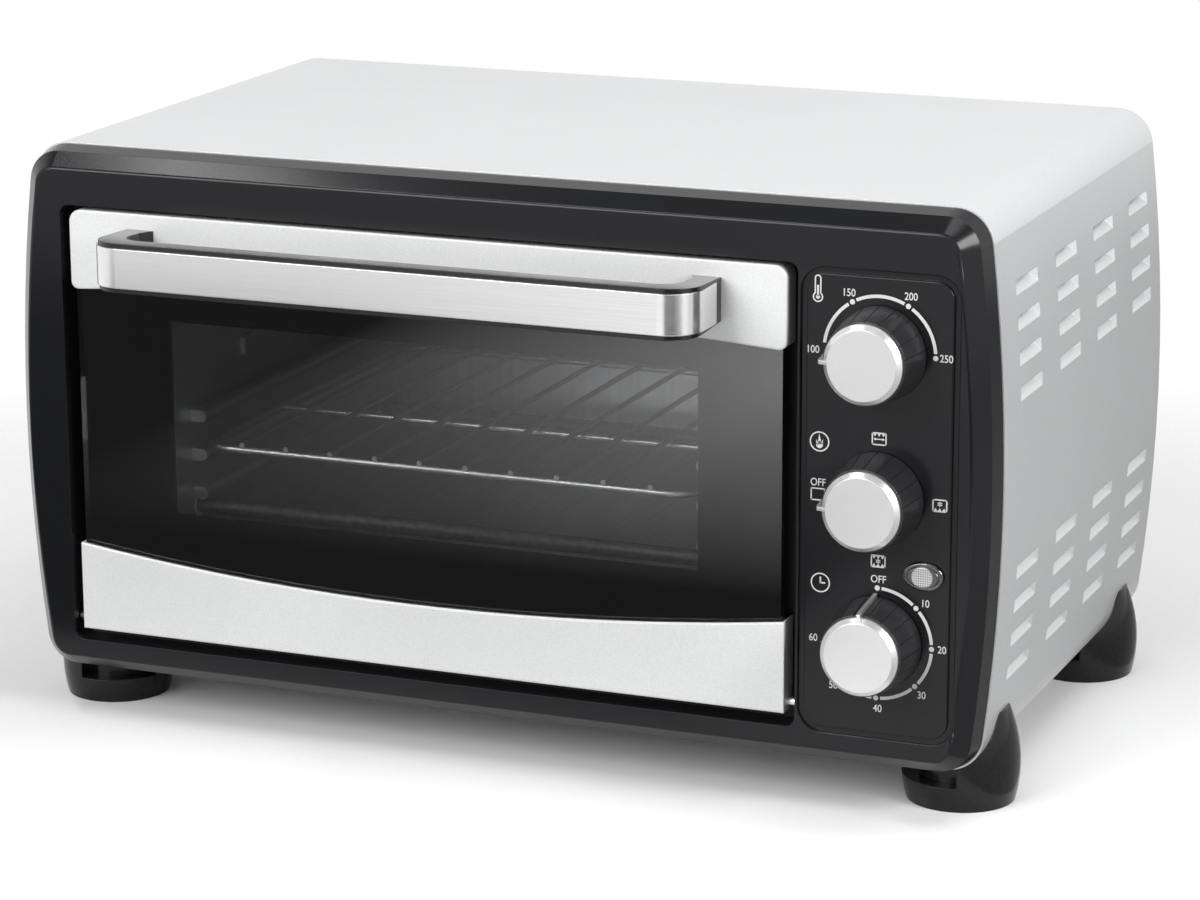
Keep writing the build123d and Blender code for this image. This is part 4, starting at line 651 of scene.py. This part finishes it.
def function_print():
    """A flame in a ring, and an icon for each way of heating."""
    shape = bmesh.new()
    axis = function_axis
    flame = on_panel(axis, -22.8, 19.8)
    ink_ring(shape, flame, 3.6 * MM, ICON_LINE * MM)
    ink_dot(shape, on_panel(flame, 0, -1.2), 1.35 * MM)
    tongues = ((0, 0.4, 1.5, 4.2, -4), (-1.0, -0.6, 0.9, 2.2, -12), (1.0, -0.5, 0.9, 2.4, 12))
    for right, up, width, height, tilt in tongues:
        ink_spike(shape, on_panel(flame, right, up), width, height, tilt)
    grill = on_panel(axis, 0.3, 22.9)
    ink_oven(shape, grill)
    ink_heat(shape, grill, 1)
    ink_bar(shape, on_panel(grill, 0, -0.15), 2.6, 0.4)
    for side in (-1, 1):
        ink_spike(shape, on_panel(grill, side * 1.6, -0.15), 1.1, 1.0, side * 90)
    base_heat = on_panel(axis, 24.0, -0.2)
    ink_oven(shape, base_heat)
    ink_heat(shape, base_heat, -1)
    ink_fan(shape, on_panel(base_heat, 0, 0.6))
    full_heat = on_panel(axis, 0.6, -23.8)
    ink_oven(shape, full_heat)
    ink_heat(shape, full_heat, 1)
    ink_heat(shape, full_heat, -1)
    ink_fan(shape, full_heat)
    ink_oven(shape, on_panel(axis, -23.2, -0.4))
    ink_figures(shape, "OFF", on_panel(axis, -23.2, 4.1))
    settle(shape)
    add_piece("function_print", shape, panel_ink, "oven_body")


def timer_print():
    """The minute scale and a clock."""
    shape = bmesh.new()
    axis = timer_axis + TIMER_SCALE_SHIFT
    for angle in (0, 45, 90, 135, 180, 225):
        ink_dot(shape, round_dial(axis, angle))
        ink_arc(shape, axis, angle + SCALE_GAP, angle + 45 - SCALE_GAP)
    figures = (("OFF", 0.4, 24.7), ("10", 18.6, 17.2), ("20", 25.4, 0), ("30", 17.8, -18.4),
               ("40", 0.7, -25.5), ("50", -16.8, -18.4), ("60", -24.9, -0.6))
    for number, right, up in figures:
        ink_figures(shape, number, on_panel(axis, right, up))
    clock = on_panel(axis, -22.3, 21.1)
    ink_ring(shape, clock, 3.55 * MM, ICON_LINE * MM)
    ink_bar(shape, on_panel(clock, 0, 1.05), 0.6, 2.5)
    ink_bar(shape, on_panel(clock, 0.85, 0), 2.2, 0.6)
    settle(shape)
    add_piece("timer_print", shape, panel_ink, "oven_body")


def glass_border():
    """The black enamel behind the glass, left clear at the window."""
    back = glass_high.y + BORDER_SHEET
    left = glass_low.x + WINDOW_LEFT
    right = glass_high.x - WINDOW_RIGHT
    low = glass_low.z + WINDOW_LOW
    high = glass_high.z - WINDOW_HIGH
    corners = [(glass_low.x, glass_low.z), (glass_high.x, glass_low.z),
               (glass_high.x, glass_high.z), (glass_low.x, glass_high.z)]
    shape = bmesh.new()
    shape.faces.new([shape.verts.new((x, back, z)) for x, z in corners])
    cuts = (((left, 0, 0), (1, 0, 0)), ((right, 0, 0), (1, 0, 0)),
            ((0, 0, low), (0, 0, 1)), ((0, 0, high), (0, 0, 1)))
    for point, across in cuts:
        everything = list(shape.verts) + list(shape.edges) + list(shape.faces)
        bmesh.ops.bisect_plane(shape, geom=everything, dist=1e-7, plane_co=point, plane_no=across)
    middle = Vector(((left + right) / 2, back, (low + high) / 2))
    window = min(shape.faces, key=lambda face: (face.calc_center_median() - middle).length)
    bmesh.ops.delete(shape, geom=[window], context="FACES")
    grown = bmesh.ops.extrude_face_region(shape, geom=list(shape.faces))["geom"]
    bmesh.ops.translate(shape, verts=verts_among(grown), vec=(0, BORDER_SHEET, 0))
    settle(shape)
    add_piece("glass_border", shape, border_enamel, "door")


def pan_head():
    """One screw head on its own, its cross recess facing up at the origin."""
    shape = bmesh.new()
    bmesh.ops.create_grid(shape, x_segments=3, y_segments=3, size=1.0)
    for vert in shape.verts:
        for way in (0, 1):
            reach = CROSS_REACH if abs(vert.co[way]) > 0.5 else CROSS_WIDTH / 2
            vert.co[way] = math.copysign(reach, vert.co[way])
    middles = {face: face.calc_center_median() for face in shape.faces}
    between = [face for face, middle in middles.items()
               if min(abs(middle.x), abs(middle.y)) > CROSS_WIDTH / 2]
    bmesh.ops.delete(shape, geom=between, context="FACES")
    cross = list(shape.faces)
    bmesh.ops.subdivide_edges(shape, edges=[edge for edge in shape.edges if edge.is_boundary], cuts=1)
    outline = [edge for edge in shape.edges if edge.is_boundary]
    ring = bmesh.ops.create_circle(shape, segments=len(outline), radius=HEAD_RADIUS)["verts"]
    rim = list({edge for vert in ring for edge in vert.link_edges})
    bmesh.ops.bridge_loops(shape, edges=outline + rim)
    sunk = bmesh.ops.extrude_face_region(shape, geom=cross)["geom"]
    floor = verts_among(sunk)
    bmesh.ops.scale(shape, verts=floor, vec=(CROSS_TAPER, CROSS_TAPER, 1))
    bmesh.ops.translate(shape, verts=floor, vec=(0, 0, -CROSS_DEPTH))
    wall = bmesh.ops.extrude_edge_only(shape, edges=rim)["geom"]
    bmesh.ops.translate(shape, verts=verts_among(wall), vec=(0, 0, -HEAD_HEIGHT))
    bmesh.ops.holes_fill(shape, edges=[edge for edge in shape.edges if edge.is_boundary], sides=0)
    bmesh.ops.bevel(shape, geom=rim, offset=HEAD_ROUND, segments=HEAD_ROUND_STEPS, profile=0.5,
                    affect="EDGES", material=-1)
    return shape


def rear_screw_heads():
    """The rear panel's screws, each left at its own turn."""
    head = bpy.data.meshes.new("pan_head")
    pattern = pan_head()
    pattern.to_mesh(head)
    pattern.free()
    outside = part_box("rear_screws")[1].y
    shape = bmesh.new()
    for number, (x, z) in enumerate(REAR_SCREWS):
        placed = len(shape.verts)
        shape.from_mesh(head)
        shape.verts.ensure_lookup_table()
        place = Matrix.Translation((x * MM, outside, z * MM)) @ Matrix.Rotation(-math.pi / 2, 4, "X")
        place = place @ Matrix.Rotation(math.radians(number * HEAD_TURN), 4, "Z")
        bmesh.ops.transform(shape, matrix=place, verts=shape.verts[placed:])
    bpy.data.meshes.remove(head)
    settle(shape)
    piece = add_piece("rear_screw_heads", shape, bright_zinc, "oven_body")
    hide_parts("rear_screws")


temperature_print()
function_print()
timer_print()
glass_border()
rear_screw_heads()


# Floor and cards, in metres, with their shade and glow
FLOOR_REACH = 3.0
FLOOR_SIDES = 96
FLOOR_FADE_FROM = 0.28
FLOOR_FADE_TO = 0.62
FLOOR_BOUNCE = 0.22
CARD_HEIGHT = 0.8 * MM
# Glow of the reflection card, a painted reflection, from its dim part up to its far right corner
CARD_SHADE = 0.06
CARD_GLOW = 1.3
GLOW_LEFT = -0.38
GLOW_RIGHT = -0.1
GLOW_FAR = -0.78
GLOW_NEAR = -0.36

# Light of the white room, and how mirrored rays lose it as they point upwards
AMBIENT = 0.2
OVERHEAD_SHADE = 0.15
OVERHEAD_FROM = 0.55
OVERHEAD_FULL = 0.8

# The photograph's viewpoint, worked out from the oven's known edges
CAMERA_PLACE = (0.6034, -1.46095, 0.5144)
CAMERA_YAW = math.radians(22.207)
CAMERA_PITCH = math.radians(14.583)
CAMERA_ROLL = math.radians(-0.205)
CAMERA_LENS = 120.0
CAMERA_SENSOR = 36.0


def ray_kinds(material):
    """Amounts that are one on rays seen straight or through glass, and on mirrored rays."""
    rays = add_node(material, "ShaderNodeLightPath").outputs
    straight = join(material, "MAXIMUM", rays["Is Camera Ray"], rays["Is Transmission Ray"])
    return straight, rays["Is Glossy Ray"]


def floor_finish():
    """Matt white paper, fading into the white round it away from the oven."""
    material, shader = blank_finish("white_paper", grey(0.95), roughness=0.9)
    shader.inputs["Specular IOR Level"].default_value = 0.1
    fibre = noise(material, pattern_place(material, size=cube(3 * MM)), detail=4.0)
    paper = tones(material, fibre, grey(0.94), grey(0.96))
    seen = join(material, "MAXIMUM", *ray_kinds(material))
    link(material, mix_colours(material, seen, grey(FLOOR_BOUNCE), paper), shader.inputs["Base Color"])
    away = distance(material, pattern_place(material))
    fade = spread(material, away, 1.0, 0.0, FLOOR_FADE_FROM, FLOOR_FADE_TO)
    link(material, fade, shader.inputs["Alpha"])
    return material


def lay_floor():
    shape = bmesh.new()
    bmesh.ops.create_circle(shape, cap_ends=True, segments=FLOOR_SIDES, radius=FLOOR_REACH)
    floor = add_mesh("floor", shape, floor_finish())


def painted_reflection_finish():
    """A card seen only in reflections, glowing dimly and rising to a white glow at its far right: a painted
    reflection in the glass and metal.
    """
    material = bpy.data.materials.new("reflection_card")
    material.use_nodes = True
    tree = material.node_tree
    tree.nodes.remove(tree.nodes["Principled BSDF"])
    place = along_axes(material, pattern_place(material))
    across = spread(material, place["X"], 0.0, 1.0, GLOW_LEFT, GLOW_RIGHT)
    away = spread(material, place["Y"], 1.0, 0.0, GLOW_FAR, GLOW_NEAR)
    corner = join(material, "MULTIPLY", across, away)
    glow = add_node(material, "ShaderNodeEmission")
    link(material, spread(material, corner, CARD_SHADE, CARD_GLOW, 0.0, 1.0), glow.inputs["Strength"])
    link(material, glow.outputs["Emission"], tree.nodes["Material Output"].inputs["Surface"])
    return material


def felt_finish(name, shade):
    """Plain felt with a faint nap."""
    material, shader = blank_finish(name, grey(shade), roughness=0.9)
    nap = noise(material, pattern_place(material, size=cube(4 * MM)))
    link(material, tones(material, nap, grey(0.7 * shade), grey(1.3 * shade)), shader.inputs["Base Color"])
    shader.inputs["Specular IOR Level"].default_value = 0.0
    return material


def lay_card(name, left, right, far, near, finish):
    """A card on the floor, which only reflections see."""
    shape = bmesh.new()
    corners = ((left, far), (right, far), (right, near), (left, near))
    shape.faces.new([shape.verts.new((x, y, CARD_HEIGHT)) for x, y in corners])
    card = add_mesh(name, shape, finish)
    card.visible_camera = False
    card.visible_diffuse = False
    card.visible_shadow = False


def light_world():
    """White to the eye and in level reflections, darker overhead in these, and a softer white as light."""
    world = bpy.data.worlds.new("white_room")
    world.use_nodes = True
    scene.world = world
    background = world.node_tree.nodes["Background"]
    background.inputs["Color"].default_value = (1.0, 1.0, 1.0, 1.0)
    straight, mirrored = ray_kinds(world)
    upward = along_axes(world, add_node(world, "ShaderNodeTexCoord").outputs["Generated"])["Z"]
    overhead = spread(world, upward, 1.0, OVERHEAD_SHADE, OVERHEAD_FROM, OVERHEAD_FULL)
    seen = join(world, "MAXIMUM", straight, join(world, "MULTIPLY", mirrored, overhead))
    link(world, join(world, "MAXIMUM", seen, AMBIENT), background.inputs["Strength"])


def hang_lamp(name, place, aim, width, height, power):
    lamp = bpy.data.lights.new(name, "AREA")
    lamp.shape = "RECTANGLE"
    lamp.size = width
    lamp.size_y = height
    lamp.energy = power
    holder = bpy.data.objects.new(name, lamp)
    holder.location = place
    holder.rotation_euler = (Vector(aim) - Vector(place)).to_track_quat("-Z", "Y").to_euler()
    scene.collection.objects.link(holder)


def set_camera():
    """The camera at the photograph's viewpoint."""
    level = Vector((math.cos(CAMERA_YAW), math.sin(CAMERA_YAW), 0))
    back = Vector((math.sin(CAMERA_YAW) * math.cos(CAMERA_PITCH),
                   -math.cos(CAMERA_YAW) * math.cos(CAMERA_PITCH),
                   math.sin(CAMERA_PITCH)))
    right = level * math.cos(CAMERA_ROLL) + back.cross(level) * math.sin(CAMERA_ROLL)
    up = back.cross(right)
    camera = bpy.data.cameras.new("viewpoint")
    camera.lens = CAMERA_LENS
    camera.sensor_width = CAMERA_SENSOR
    holder = bpy.data.objects.new("viewpoint", camera)
    turned = Matrix((right, up, back)).transposed().to_4x4()
    holder.matrix_world = Matrix.Translation(CAMERA_PLACE) @ turned
    scene.collection.objects.link(holder)
    scene.camera = holder


lay_floor()
light_world()
# A glowing card seen only in reflections: a painted reflection, dim with a white glow at its far right
lay_card("reflection_card", left=-0.75, right=0.05, far=-0.88, near=-0.2, finish=painted_reflection_finish())
lay_card("felt_card", left=0.12, right=0.85, far=-1.4, near=-0.5, finish=felt_finish("black_felt", 0.012))
lay_card("grey_card", left=0.21, right=1.4, far=-0.3, near=1.7, finish=felt_finish("grey_felt", 0.45))
hang_lamp("key_lamp", place=(0.45, 0.1, 1.5), aim=(0, 0, 0.1), width=0.9, height=0.9, power=8)
hang_lamp("edge_lamp", place=(-0.48, -0.45, 1.45), aim=(0, -0.1, 0.2), width=1.1, height=0.1, power=4)
hang_lamp("front_lamp", place=(-0.65, -1.5, 0.95), aim=(0, -0.05, 0.12), width=1.1, height=0.9, power=22)
hang_lamp("side_lamp", place=(1.0, -0.4, 0.6), aim=(0.2, -0.05, 0.14), width=0.4, height=0.4, power=7.5)
set_camera()
